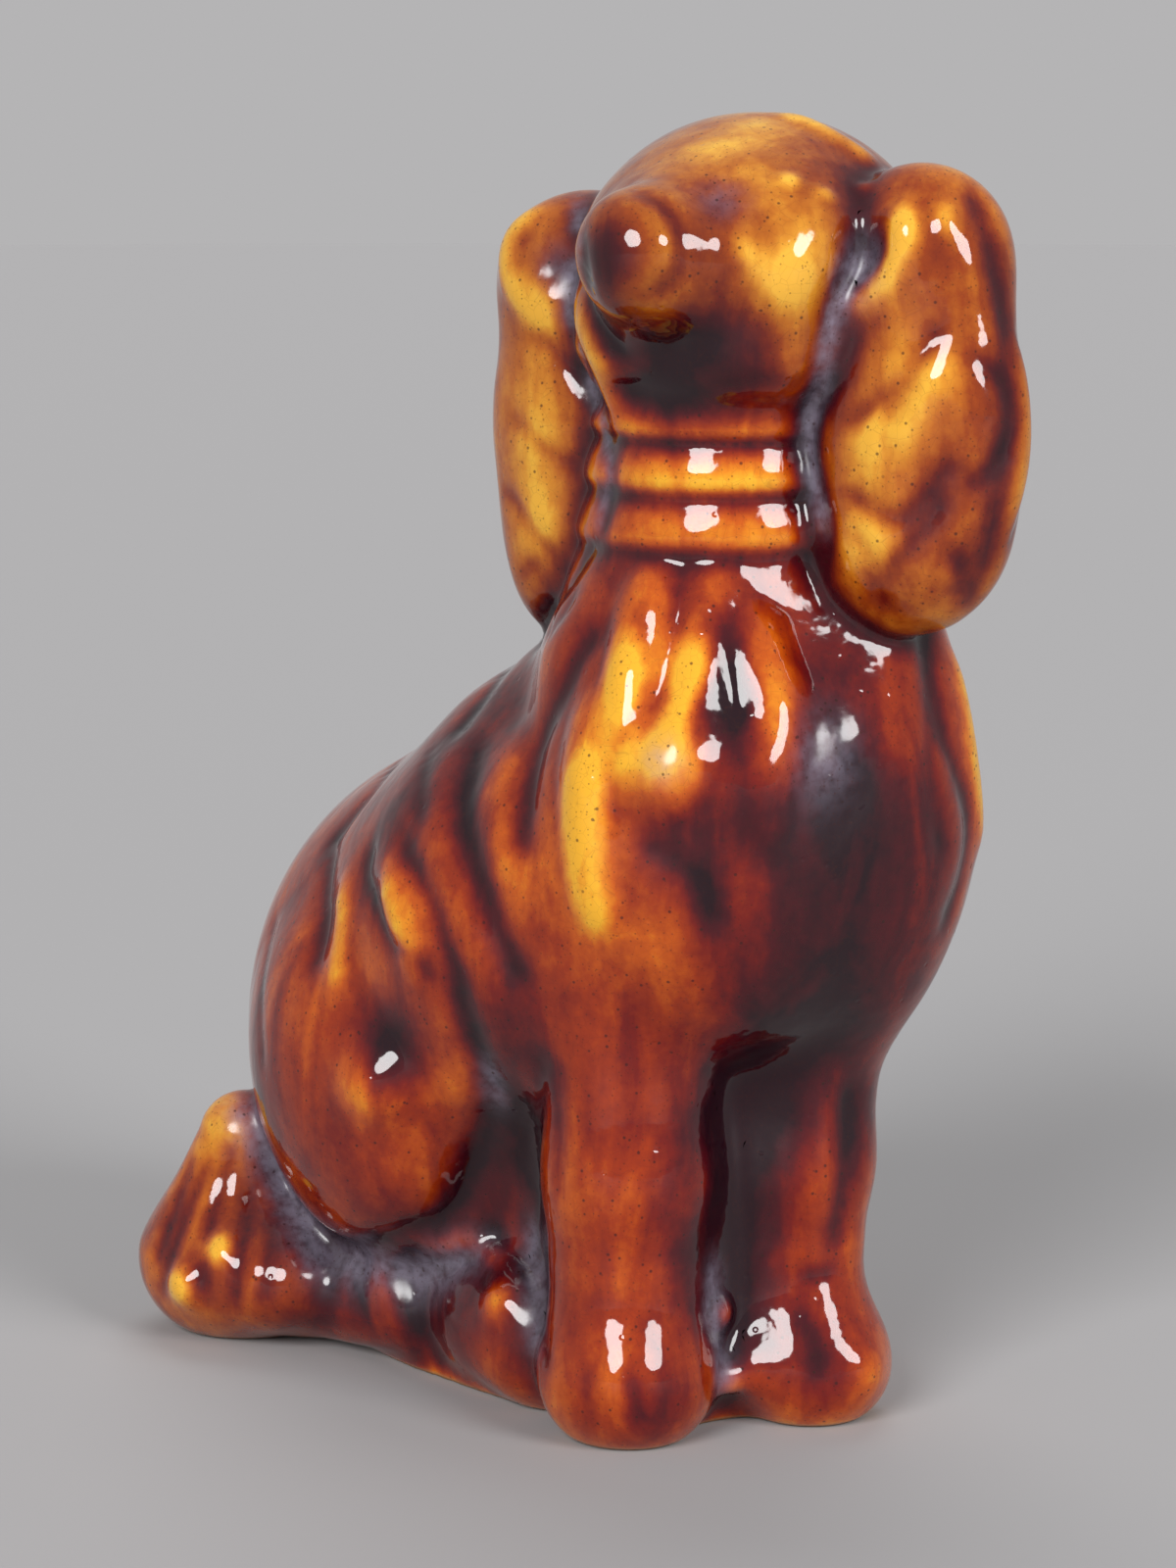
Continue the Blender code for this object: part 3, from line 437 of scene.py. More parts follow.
# Where the glaze is thinner (negative) or thicker, plus the painted shade marked below; and where
# it is clouded, which also paints sheen and lamp reflections in grey-lilac
TINTS = (
    (8, -0.3, ((-2.6, 144), (3.3, 143.4))),
    (5, -0.18, ((-4.8, 141.8), (-11.2, 141.3))),
    (6, -0.2, ((1.7, 135.4), (6.1, 127.9), (2.9, 122.5))),
    (8, -0.26, ((-0.9, 113.8), (-0.8, 107.3), (-0.8, 101.8))),
    (5, -0.36, ((-11.2, 88.6), (-12.8, 79.7))),
    (3.6, -0.4, ((-3.3, 89.7), (-4.1, 80.8), (-8.1, 74.2))),
    (5, -0.34, ((-15.6, 75.2), (-16.7, 66.3))),
    (10, -0.38, ((-15.6, 64.1), (-11.1, 55.1))),
    (3, -0.28, ((5.1, 85.3), (6.4, 80.9))),
    (6, -0.26, ((20.2, 124.7), (17.6, 114.9), (15, 104), (16.1, 96.4))),
    (3, -0.15, ((23.3, 122.6), (21.9, 117.1))),
    (3, -0.16, ((18.4, 113.8), (14.9, 111.7))),
    (3.5, -0.16, ((16.4, 101.8), (14.4, 96.4))),
    (6, -0.3, ((-19.9, 127.8), (-21.5, 119.2), (-21.6, 111.6), (-21, 99.5))),
    (7, -0.1, ((-43.4, 50.4), (-42.9, 41.3))),
    (5, -0.34, ((-32.3, 35.7), (-31.7, 40.8))),
    (3, -0.24, ((-41.6, 59.4), (-41.1, 52.6), (-40, 49.3))),
    (3, -0.2, ((-34.4, 61.7), (-33.3, 56.1))),
    (3.5, -0.2, ((-5.8, 127.3), (-10.1, 127.9))),
    (5, -0.24, ((-57.5, 34.3), (-59.1, 26.3))),
    (3, -0.1, ((11.7, 38.2), (12.1, 29.1), (11.9, 20))),
    (4, -0.2, ((20.1, 82.1), (20.2, 74.3))),
    (7, 0.36, ((11.4, 144), (15.7, 140.8))),
    (5, 0.75, ((-12.5, 135.9), (-13.9, 131.1), (-12.3, 127.9))),
    # Painted shade under the chin and jaw, over dark pooled glaze
    (5.5, 0.6, ((-9, 123), (-4.7, 121.4), (-0.3, 119.4), (-5.8, 117.9), (-2, 117.3))),
    (3.5, 0.3, ((-15.8, 125.7), (-14.3, 122.5), (-12.1, 117.6))),
    (6, 0.2, ((-2.4, 95.2), (-6.8, 95.2))),
    (7, 0.4, ((11.9, 84.2), (13.6, 73.1), (12, 65.3))),
    (4, 0.46, ((0, 84.2), (-0.7, 79.7), (2.1, 74.2), (3.8, 67.5))),
    # Painted shade under the chest's overhang, over thick glaze
    (11, 0.38, ((2.2, 57.4), (11, 56.3), (20.9, 58.6))),
    (8, 0.34, ((14.2, 67.6), (20.9, 64.2))),
    (6, 0.24, ((11.9, 79.8), (15.2, 75.4))),
    (9, -0.34, ((-1.6, 147.7), (7.1, 146.1))),
    # Painted shade under the chest, above the forelegs
    (9, 0.45, ((3.3, 47.3), (12.2, 46.2), (19.9, 49.6))),
    (4, 0.24, ((-5.6, 71.9), (-4.5, 64.1), (-1.2, 58.5))),
    # Painted shade in the hollow between the right foreleg and the thigh
    (4, 0.28, ((-26.1, 50.5), (-25.4, 39.1), (-23.9, 27.7))),
    (7, 0.32, ((-49.3, 16), (-38, 12.6), (-29, 11.5))),
    # Painted shade in the recess between the forelegs
    (5, 0.42, ((0.3, 39.3), (-0.1, 27.9), (0.1, 16.4), (0.8, 4.8))),
    # Painted shade on the left foreleg's inner side, which faces the recess
    (6, 0.3, ((6.7, 40.5), (6.8, 30.2), (6.8, 21.1))),
    (4, 0.36, ((16.1, 40.5), (15.5, 28))),
    (8, 0.12, ((-13.3, 36.9), (-13.3, 27.8))),
    # Painted shade on the right foreleg's edge beside the recess
    (4, 0.3, ((-3.9, 35.9), (-4.4, 22.1), (-4.3, 12.9))),
    (7, 0.32, ((-13.3, 0.1), (-4.3, 0.1))),
    (6, 0.28, ((6.9, 6.1), (12.5, 5), (17, 6.2))),
    (7, 0.28, ((-39.9, 68.4), (-33.2, 74), (-25.5, 85.2), (-21.6, 89.1))),
    (4, 0.18, ((-29.9, 72.9), (-27.7, 65.1), (-28.8, 61.7))),
    (8, 0.38, ((-30.2, 15), (-24.5, 12.7), (-23.4, 6.4))),
    (6, 0.36, ((-39.5, 43.6), (-38.4, 37.9))),
    (4, 0.5, ((-39.6, 38.6),)),
    (4, 0.15, ((-11.1, 3.8),)),
    (3, 0.25, ((16.8, 5.7),)),
    (3, 0.42, ((-25.7, 16),)),
    (2.2, 0.3, ((-1.5, 92.5), (-0.4, 89.2), (-0.2, 85.4), (-2.5, 81.6), (-4.1, 78.4), (-5.6, 75.5),
        (-7.4, 71.7))),
    (2.6, 0.3, ((-61.9, 14.5),)),
    (5, 0.2, ((-37.6, 43.6),)),
    # Painted shade under the haunch, above the saddle
    (7, 0.22, ((-40.2, 28.7), (-45.8, 29.8))),
    (5, 0.1, ((-40, 58.3),)),
    # Painted shade where the chest's underside arches over the recess between the forelegs
    (5, 0.5, ((2.2, 44.1), (8.3, 43.7))),
    (8, 0.2, ((-53.5, 44.6), (-51.9, 33.2), (-49.2, 27.5))),
    (5, 0.25, ((-5.4, 0.1), (-9.9, -1.1))),
    (5, 0.16, ((-61.7, 14.7), (-56.1, 14.8))),
    (3, 0.24, ((29.8, 133.3), (31.6, 119.3), (30.7, 106.3), (29.2, 97.5))),
    (4, 0.15, ((-43, 23.4), (-38, 23))),
    (4, -0.2, ((26, 70), (26, 58)), 60),
    (4, -0.2, ((36, 68), (38, 58)), 60),
    (4, -0.15, ((-3, 86), (-3, 72)), 60),
    (4, -0.2, ((8, 82), (10, 68)), 150),
    (4, -0.2, ((19, 76), (22, 62)), 150),
    (5, -0.15, ((19, 42), (20, 30)), 150),
    (5, -0.15, ((-18, 122), (-19, 104)), 60),
    (5, -0.12, ((20, 124), (20, 106)), 150),
    (6, 0.2, ((16, 44), (12, 24)), 60),
    (7, 0.2, ((-4, 60), (0, 40)), 150),
    (6, 0.2, ((48, 20), (30, 14)), 60),
)
BLOOMS_AND_SHEEN = (
    # Grey-lilac clouding: part glaze bloom, part painted sheen and reflections in the ear hollows,
    # the creases beside the neck, the eye hollow, round the tail and between the legs
    (3, 0.85, ((15.2, 132), (13.7, 129))),
    (2.2, 0.55, ((-19.2, 131.6), (-17.7, 128.9))),
    (1.1, 0.7, ((12.4, 127.9), (10.9, 123), (10.3, 118.9), (9.2, 113.9), (9.1, 109.8), (10, 105.5),
        (10.9, 101.8))),
    (1, 0.5, ((-16.5, 138.6), (-16.7, 132.1), (-17.5, 126.3), (-14, 114.3), (-13.2, 108),
        (-14.5, 101.8))),
    (2.5, 0.45, ((-2, 138.3), (0.1, 138.3))),
    (2.2, 0.7, ((-56.3, 38.3), (-54.6, 34), (-52.5, 29.9), (-50.4, 25.6), (-48.2, 21.5),
        (-46.9, 17.2))),
    (3, 0.6, ((-44.8, 17.2), (-38, 17.2), (-34.6, 16.1), (-27.9, 18.5))),
    (1.8, 0.6, ((-1.5, 17.5), (-1.2, 10.6), (0, 2.5))),
    (1.5, 0.5, ((-26.7, 41.4), (-25.8, 35.7))),
    # Painted dull reflections of the lamps on the chest, over clouded glaze
    (3.6, 0.6, ((11.4, 78.5), (10.7, 73.1))),
    (2.2, 0.5, ((-7.3, 75.8),)),
    (1.6, 0.45, ((-21.7, 22), (-21.6, 12.8), (-21.2, 5.8))),
)


def even_steps(points, step):
    """A smooth line through the points, in even steps."""
    points = np.array(points, float)
    if len(points) == 1:
        return points
    if len(points) > 2:
        fine = []
        padded = np.vstack([2 * points[0] - points[1], points, 2 * points[-1] - points[-2]])
        for a, b, c, d in zip(padded, padded[1:], padded[2:], padded[3:]):
            for t in np.linspace(0, 1, CURVE_STEPS, endpoint=False):
                fine.append(0.5 * (2 * b + (c - a) * t + (2 * a - 5 * b + 4 * c - d) * t * t
                                   + (3 * b - a - 3 * c + d) * t ** 3))
        points = np.array(fine + [points[-1]])
    lengths = np.r_[0, np.cumsum(np.linalg.norm(np.diff(points, axis=0), axis=1))]
    stops = np.linspace(0, lengths[-1], max(2, int(lengths[-1] / step) + 1))
    columns = range(points.shape[1])
    return np.stack([np.interp(stops, lengths, points[:, i]) for i in columns], axis=1)


def on_skin(clay, points, view=None):
    """Where the lines of sight through points of the upright plane first meet the skin."""
    azimuth = np.radians(VIEW_AZIMUTH if view is None else view)
    across = np.array([np.cos(azimuth), np.sin(azimuth), 0.0])
    eye = np.array(EYE)
    if view is not None:
        eye = np.array([np.sin(azimuth) * FAR_EYE, -np.cos(azimuth) * FAR_EYE, MIDDLE_HEIGHT])
    flat = even_steps(points, LINE_STEP)
    through = flat[:, :1] * across + flat[:, 1:] * np.array([0, 0, 1.0])
    aim = through - eye
    reach = np.linalg.norm(aim, axis=1)
    aim /= reach[:, None]
    far = reach - BEFORE_PLANE
    for _ in range(CAST_STEPS):
        far += CAST_SHARE * np.clip(clay.sample(eye + aim * far[:, None]), -2.0, 6.0)
    found = eye + aim * far[:, None]
    return found[np.abs(clay.sample(found)) < ON_SKIN]


def taper(count, width):
    """Full strength along a line, fading out at both its ends."""
    if count < 3:
        return np.ones(count)
    run = np.arange(count) * LINE_STEP
    ends = np.minimum(run, run[::-1]) / (FADE_WIDTHS * width)
    return np.clip(END_SHARE + ends, 0, 1) ** FADE_POWER


def carve(clay, strokes, bank, soft):
    """Draw a tool along each line: a sharp one leaves a crease, a soft one a hollow or a lobe."""
    for width, depth, points, *view in strokes:
        line = on_skin(clay, points, *view)
        if not len(line):
            continue
        force = taper(len(line), width)
        reach = TOOL_REACH * width
        whole = clay.window(line.min(0) - reach, line.max(0) + reach)[0]
        for first in range(0, len(line), RUN):
            few = line[first:first + RUN + 1]
            part, x, y, z = clay.window(few.min(0) - reach, few.max(0) + reach)
            mark = bank[part]
            for point, strength in zip(few, force[first:first + RUN + 1]):
                away = (x - point[0]) ** 2 + (y - point[1]) ** 2 + (z - point[2]) ** 2
                away = away / width ** 2
                if soft:
                    press = strength * np.exp(-away)
                else:
                    press = strength * np.exp(0.4 - np.sqrt(1.6 * away + 0.16))
                np.maximum(mark, press.astype(np.float32), out=mark)
        clay.field[whole] += depth * bank[whole]
        bank[whole] = 0.0


def blurred(field, cells):
    """A box blur along each axis, run twice so that it is round enough."""
    out = field
    for _ in range(2):
        for axis in range(3):
            edges = [(cells + 1, cells) if a == axis else (0, 0) for a in range(3)]
            summed = np.cumsum(np.pad(out, edges, mode="edge"), axis=axis, dtype=np.float64)
            size = 2 * cells + 1
            upper = [slice(None)] * 3
            lower = [slice(None)] * 3
            upper[axis] = slice(size, None)
            lower[axis] = slice(0, -size)
            out = ((summed[tuple(upper)] - summed[tuple(lower)]) / size).astype(np.float32)
    return out


def head_at(forward, left, height):
    """A point by its reach along the gaze, to the dog's left and up."""
    yaw = math.radians(HEAD_YAW)
    x = HEAD_AT[0] + forward * math.sin(yaw) + left * math.cos(yaw)
    y = HEAD_AT[1] - forward * math.cos(yaw) + left * math.sin(yaw)
    return (x, y, height)


def trunk():
    clay = Clay()
    clay.ball(*CHEST, melt=FIRST)
    clay.ball(*RIBS, turn(lean=RIBS_LEAN), melt=10)
    clay.ball(*RUMP, turn(lean=RUMP_LEAN), melt=10)
    clay.ball(*SHOULDER, melt=5)
    clay.limb(*NECK, melt=5)
    clay.ball(*BELLY, melt=5)
    clay.ball(*LEFT_SHOULDER, melt=6)
    clay.limb(*WITHERS, melt=7)
    return clay


def skin_at(clay, bearing, height):
    """The skin at a bearing about the chest and a height, and the way out of it."""
    around = math.radians(bearing)
    outward = np.array([math.sin(around), -math.cos(around), 0.0])
    far = OUTSIDE
    start = np.array([*CHEST_AT, height])
    for _ in range(SEEK_STEPS):
        far -= CAST_SHARE * np.clip(clay.sample(start + far * outward)[0], -2.0, 4.0)
    return start + far * outward, outward


def coat(clay):
    """Press the tapered locks on, each along the skin through its stations."""
    placed = []
    for stations in COAT_LOCKS:
        bearings, heights = np.array(stations, float).T
        places = range(len(bearings))
        count = (len(bearings) - 1) * LOCK_STEPS
        for step in range(count + 1):
            share = step / count
            bearing = np.interp(step / LOCK_STEPS, places, bearings)
            height = np.interp(step / LOCK_STEPS, places, heights)
            across = LOCK_DIAMETERS[0] + share * (LOCK_DIAMETERS[1] - LOCK_DIAMETERS[0])
            skin, outward = skin_at(clay, bearing, height)
            middle = skin - (across / 2 - LOCK_PROUD) * outward
            placed.append((middle, (across, across, LOCK_STRETCH * across)))
    for at, size in placed:
        clay.ball(at, size, melt=LOCK_MELT, reach=4.0)


def neck_rolls(clay):
    """Swell the neck into rolls that flare downwards to a crest, with a crease under each."""
    foot = np.array(NECK_FOOT)
    top = np.array(NECK_TOP)
    part, x, y, z = clay.window(*NECK_BLOCK)
    share = (z - foot[2]) / (top[2] - foot[2])
    from_middle = [axis - foot[i] - share * (top[i] - foot[i]) for i, axis in enumerate((x, y))]
    away = np.sqrt(from_middle[0] ** 2 + from_middle[1] ** 2)
    swell = 0
    for top_crease, low_crease in zip(NECK_CREASES, NECK_CREASES[1:]):
        down = (top_crease - z) / (top_crease - low_crease)
        rise = np.minimum(down / NECK_ROLL_CREST, (1 - down) / (1 - NECK_ROLL_CREST))
        swell += np.sin(np.pi / 2 * np.clip(rise, 0, 1)) ** NECK_ROLL_ROUND
    swell = NECK_ROLL_PROUD * swell * np.clip((NECK_REACH - away) / NECK_FADE, 0, 1)
    clay.field[part] -= swell.astype(np.float32)


def beside(middle, form, side):
    """A ball's place and size, out to the dog's right (-1) or left (1) of a middle."""
    (out, y, z), size = form
    return (middle + out * side, y, z), size


def thighs(clay):
    for side in (-1, 1):
        clay.ball(*beside(THIGH_MIDDLE, THIGH, side), turn(roll=THIGH_SPLAY * side), melt=2.5)


def on_head(forms):
    """A block with forms that face the way the dog looks."""
    clay = Clay()
    facing = turn(yaw=HEAD_YAW)
    for at, size, melt in forms:
        clay.ball(head_at(*at), size, facing, melt)
    return clay


def foreleg(side):
    clay = Clay()
    x = LEG_MIDDLE[0] + LEG_OUT * side
    y = LEG_MIDDLE[1] - side
    elbow, shin, wrist = LEG_RADII[side]
    clay.limb((x, y + ELBOW_BACK, ELBOW_HEIGHT), (x, y, SHIN_HEIGHT), elbow, shin, melt=FIRST)
    clay.limb((x, y, SHIN_HEIGHT), (x, y, WRIST_HEIGHT), shin, wrist, melt=3)
    clay.ball((x + PAW_OUT * side, y - 1, PAW_HEIGHT), PAW_SIZE, melt=6)
    return clay


def hind_foot(side):
    clay = Clay()
    clay.ball(*beside(FOOT_MIDDLE, FOOT, side), melt=FIRST)
    clay.ball(*beside(FOOT_MIDDLE, TOES, side), melt=4)
    return clay


def brush():
    clay = Clay()
    clay.limb(*TAIL_SWITCH, melt=FIRST)
    clay.ball(*TAIL_ROOT, melt=5)
    return clay


def slab():
    """The rolled slab: an upright oval wall under a flat top, with a rounded edge."""
    clay = Clay()
    x, y, z = clay.window(LOW, HIGH)[1:]
    across = (x - SLAB_AT[0]) / SLAB_HALF[0]
    along = (y - SLAB_AT[1]) / SLAB_HALF[1]
    side = (np.sqrt(across ** 2 + along ** 2) - 1) * SLAB_RADIUS
    top = (z - SLAB_CROWN) * np.ones_like(side)
    clay.field = -melt_in(-side, -top, SLAB_EDGE).astype(np.float32)
    return clay


def sculpt():
    """The whole figure, cut and hollow; its outer skin; and how much the tool took or added."""
    clay = trunk()
    hollow = clay.field + WALL
    coat(clay)
    neck_rolls(clay)
    thighs(clay)
    clay.limb(*SADDLE, melt=3)
    clay.join(on_head(HEAD_FORMS), 3)
    x, y, z = clay.window(LOW, HIGH)[1:]
    clay.label[:] = np.where(x + y > PARTING, BACK, FRONT)
    for side, label in ((-1, RIGHT_LEG), (1, LEFT_LEG)):
        clay.join(foreleg(side), 4, label)
    clay.join(slab(), 3, SLAB)
    for side, label in ((-1, RIGHT_FOOT), (1, LEFT_FOOT)):
        clay.join(hind_foot(side), 3, label)
    clay.join(brush(), 2, TAIL)
    clay.join(on_head(RIGHT_EAR_FORMS), 1.5, RIGHT_EAR)
    clay.join(on_head(LEFT_EAR_FORMS), 1.5, LEFT_EAR)
    body = (clay.label == FRONT) | (clay.label == BACK)
    clay.label[body & (z < SLAB_TOP)] = SLAB
    uncut = clay.field.copy()
    bank = np.zeros_like(clay.field)
    carve(clay, LOBES, bank, True)
    carve(clay, HOLLOWS, bank, True)
    carve(clay, GROOVES, bank, False)
    depth = clay.field - uncut
    over_ground = z * np.ones_like(clay.field)
    clay.field = -melt_in(-clay.field, over_ground, GROUND_EDGE).astype(np.float32)
    skin = clay.field.copy()
    hollow = np.maximum(hollow, SLAB_TOP - z)
    vent = np.sqrt((x - VENT_AT[0]) ** 2 + (y - VENT_AT[1]) ** 2) - VENT_RADIUS + 0 * z
    emptied = np.minimum(hollow, np.maximum(vent, z - SLAB_TOP - 1))
    clay.field = np.maximum(clay.field, -emptied)
    clay.label[clay.field >= 0] = 0
    return clay, skin, depth


def netted(clay):
    """A vertex in each cell that the skin or a joint crosses, a quad over each crossed edge."""
    label = clay.label
    n = np.array(label.shape) - 1
    corners = [label[i:n[0] + i, j:n[1] + j, k:n[2] + k] for i, j, k in CORNERS]
    mixed = np.minimum.reduce(corners) != np.maximum.reduce(corners)
    number = np.full(mixed.shape, -1, np.int32)
    number[mixed] = np.arange(mixed.sum())
    cells = np.argwhere(mixed)
    skin_sum, joint_sum = np.zeros((2, len(cells), 3))
    skin_count, joint_count = np.zeros((2, len(cells)))
    places = np.array(CORNERS)
    value = [clay.field[tuple((cells + p).T)] for p in places]
    name = [label[tuple((cells + p).T)] for p in places]
    for a in range(8):
        for b in range(a + 1, 8):
            if np.abs(places[a] - places[b]).sum() != 1:
                continue
            differ = name[a] != name[b]
            skin = differ & ((name[a] == 0) | (name[b] == 0))
            gap = value[a] - value[b]
            t = np.clip(value[a] / np.where(np.abs(gap) < 1e-9, 1e-9, gap), 0.02, 0.98)[:, None]
            skin_sum += np.where(skin[:, None], places[a] + t * (places[b] - places[a]), 0)
            skin_count += skin
            joint = differ & ~skin
            joint_sum += np.where(joint[:, None], 0.5 * (places[a] + places[b]), 0)
            joint_count += joint
    on_surface = skin_count > 0
    local = np.where(
        on_surface[:, None], skin_sum / np.maximum(skin_count, 1)[:, None],
        joint_sum / np.maximum(joint_count, 1)[:, None])
    points = clay.low + (cells + local) * clay.step
    quads = []
    for axis in range(3):
        step_b = np.eye(3, dtype=int)[(axis + 1) % 3]
        step_c = np.eye(3, dtype=int)[(axis + 2) % 3]
        near = tuple(slice(0 if i == axis else 1, -1) for i in range(3))
        far = tuple(slice(1, None) if i == axis else slice(1, -1) for i in range(3))
        one, two = label[near], label[far]
        edges = np.argwhere(one != two)
        pair = np.stack([one[tuple(edges.T)], two[tuple(edges.T)]], axis=1)
        edges = edges + np.array([0 if i == axis else 1 for i in range(3)])
        ring = [edges - step_b - step_c, edges - step_c, edges, edges - step_b]
        quads.append((np.stack([number[tuple(r.T)] for r in ring], axis=1), pair))
    faces = np.concatenate([q for q, _ in quads])
    pairs = np.concatenate([p for _, p in quads])
    return points, on_surface, faces, pairs


def settle(clay, points, on_surface):
    """Draw the skin's vertices onto the exact skin."""
    for _ in range(2):
        slope = clay.slope(points[on_surface])
        size = np.maximum((slope ** 2).sum(1), 0.05)
        move = -(clay.sample(points[on_surface]) / size)[:, None] * slope
        length = np.linalg.norm(move, axis=1, keepdims=True)
        points[on_surface] += move * np.minimum(1, 0.4 * clay.step / np.maximum(length, 1e-9))
    return points


def near_lines(points, clay, marks):
    """How strongly each vertex is marked by coloured dabs and lines."""
    total = np.zeros(len(points))
    for width, amount, stroke, *view in marks:
        line = on_skin(clay, stroke, *view)
        if not len(line):
            continue
        force = taper(len(line), width)
        reach = DAB_REACH * width
        close = np.all((points > line.min(0) - reach) & (points < line.max(0) + reach), axis=1)
        inside = points[close]
        best = np.zeros(len(inside))
        for point, strength in zip(line, force):
            away = ((inside - point) ** 2).sum(1) / width ** 2
            best = np.maximum(best, strength * np.exp(-away))
        total[close] += amount * best
    return total


def new_object(name, data):
    made = bpy.data.objects.new(name, data)
    bpy.context.scene.collection.objects.link(made)
    return made


def make_pieces(clay, skin, depth):
    """One closed mesh for each label, with what its glaze needs to know at each vertex."""
    points, on_surface, faces, pairs = netted(clay)
    points = settle(clay, points, on_surface)
    normals = clay.slope(points)
    normals /= np.maximum(np.linalg.norm(normals, axis=1, keepdims=True), 1e-9)
    outer = clay.with_field(skin)
    told = {
        "fine": clay.sample(points, blurred(skin, max(1, round(FINE_BLUR / clay.step)))),
        "broad": clay.sample(points, blurred(skin, max(2, round(BROAD_BLUR / clay.step)))),
        "tint": near_lines(points, outer, TINTS),
        "bloom_and_sheen": near_lines(points, outer, BLOOMS_AND_SHEEN),
        "cut": clay.sample(points, depth)}
    shift = np.array([SHIFT[0], SHIFT[1], 0.0])
    made = {}
    for index, name in enumerate(SLOTS, start=1):
        ahead = pairs[:, 0] == index
        behind = pairs[:, 1] == index
        ring = np.concatenate([faces[ahead], faces[behind][:, ::-1]])
        used, local = np.unique(ring, return_inverse=True)
        local = local.reshape(-1, 4)
        mesh = bpy.data.meshes.new(name + "_ware")
        mesh.vertices.add(len(used))
        mesh.vertices.foreach_set("co", ((points[used] + shift) * MM).astype(np.float32).ravel())
        mesh.loops.add(local.size)
        mesh.loops.foreach_set("vertex_index", local.astype(np.int32).ravel())
        mesh.polygons.add(len(local))
        mesh.polygons.foreach_set("loop_start", np.arange(0, local.size, 4, dtype=np.int32))
        mesh.polygons.foreach_set("loop_total", np.full(len(local), 4, np.int32))
        mesh.update(calc_edges=True)
        for key, values in told.items():
            attribute = mesh.attributes.new(key, "FLOAT", "POINT")
            attribute.data.foreach_set("value", values[used].astype(np.float32))
        mesh.shade_smooth()
        mesh.normals_split_custom_set_from_vertices(normals[used])
        made[name] = new_object(name + "_ware", mesh)
    return made


def linear(red, green, blue):
    """A screen colour of 0 to 255 as the shader wants it."""
    screen = (red, green, blue)
    return (*(((c / 255 + 0.055) / 1.055) ** 2.4 if c > 10 else c / 3294.6 for c in screen), 1.0)


class Nodes:
    """Short calls that add and join shader nodes."""

    def __init__(self, tree):
        self.tree = tree

    def add(self, kind, **settings):
        node = self.tree.nodes.new("ShaderNode" + kind)
        for key, value in settings.items():
            setattr(node, key, value)
        return node

    def put(self, socket, value):
        if hasattr(value, "is_output"):
            self.tree.links.new(value, socket)
        else:
            socket.default_value = value

    def math(self, operation, *values):
        node = self.add("Math", operation=operation)
        for socket, value in zip(node.inputs, values):
            self.put(socket, value)
        return node.outputs[0]

    def spread(self, value, low, high, to_low=0.0, to_high=1.0):
        node = self.add("MapRange", clamp=True)
        for socket, put in zip(node.inputs, (value, low, high, to_low, to_high)):
            self.put(socket, put)
        return node.outputs[0]

    def noise(self, place, scale, detail=3.0, roughness=0.5, distortion=0.0):
        node = self.add("TexNoise")
        self.put(node.inputs["Vector"], place)
        node.inputs["Scale"].default_value = scale
        node.inputs["Detail"].default_value = detail
        node.inputs["Roughness"].default_value = roughness
        node.inputs["Distortion"].default_value = distortion
        return node.outputs["Fac"]

    def cells(self, place, scale, feature="F1"):
        node = self.add("TexVoronoi", feature=feature)
        self.put(node.inputs["Vector"], place)
        node.inputs["Scale"].default_value = scale
        return node

    def mix(self, share, one, two):
        node = self.add("Mix", data_type="RGBA", clamp_factor=True)
        self.put(node.inputs["Factor"], share)
        self.put(node.inputs["A"], one)
        self.put(node.inputs["B"], two)
        return node.outputs["Result"]

    def ramp(self, value, stops):
        node = self.add("ValToRGB")
        self.put(node.inputs["Fac"], value)
        elements = node.color_ramp.elements
        while len(elements) < len(stops):
            elements.new(0.5)
        for element, (at, colour) in zip(elements, stops):
            element.position = at
            element.color = colour
        return node.outputs["Color"]

    def attribute(self, name):
        return self.add("Attribute", attribute_name=name).outputs["Fac"]

    def dots(self, place, scale, chosen, size, share):
        """Round dots in the cells whose colour is in range, solid out to the smaller size."""
        cell = self.cells(place, scale)
        wanted = self.spread(cell.outputs["Color"], *chosen)
        dot = self.spread(cell.outputs["Distance"], *size, 1.0, 0.0)
        return self.math("MULTIPLY", self.math("MULTIPLY", dot, wanted), share)

    def bump(self, shader, height, strength, millimetres_high):
        node = self.add("Bump")
        node.inputs["Strength"].default_value = strength
        node.inputs["Distance"].default_value = millimetres_high * MM
        self.put(node.inputs["Height"], height)
        self.put(shader.inputs["Normal"], node.outputs["Normal"])


GLAZE_STOPS = (
    (0.00, linear(226, 164, 38)), (0.13, linear(211, 125, 22)), (0.28, linear(182, 80, 10)),
    (0.44, linear(142, 44, 6)), (0.60, linear(106, 18, 10)), (0.76, linear(68, 6, 16)),
    (1.00, linear(28, 2, 12)))

# The head, the ears and the tail have a yellower glaze
YELLOW_STOPS = (
    (0.00, linear(222, 166, 58)), (0.13, linear(200, 136, 40)), (0.28, linear(172, 102, 24)),
    (0.44, linear(136, 60, 10)), (0.60, linear(96, 26, 10)), (0.76, linear(62, 8, 16)),
    (1.00, linear(28, 2, 12)))
YELLOW_SHARES = {"ear_glaze": 0.6, "tail_glaze": 0.4}
HEAD_YELLOW = 0.8
HEAD_FROM, HEAD_FULL = 116.0, 124.0
CLOUD_AND_SHEEN = linear(140, 132, 150)
SPECK = linear(40, 12, 10)
GRIT = linear(52, 18, 10)
CRACK = linear(60, 20, 12)
FOOT_RING = linear(158, 112, 72)
PALE_FLOOR = linear(168, 167, 168)
STUDIO = linear(181, 180, 181)

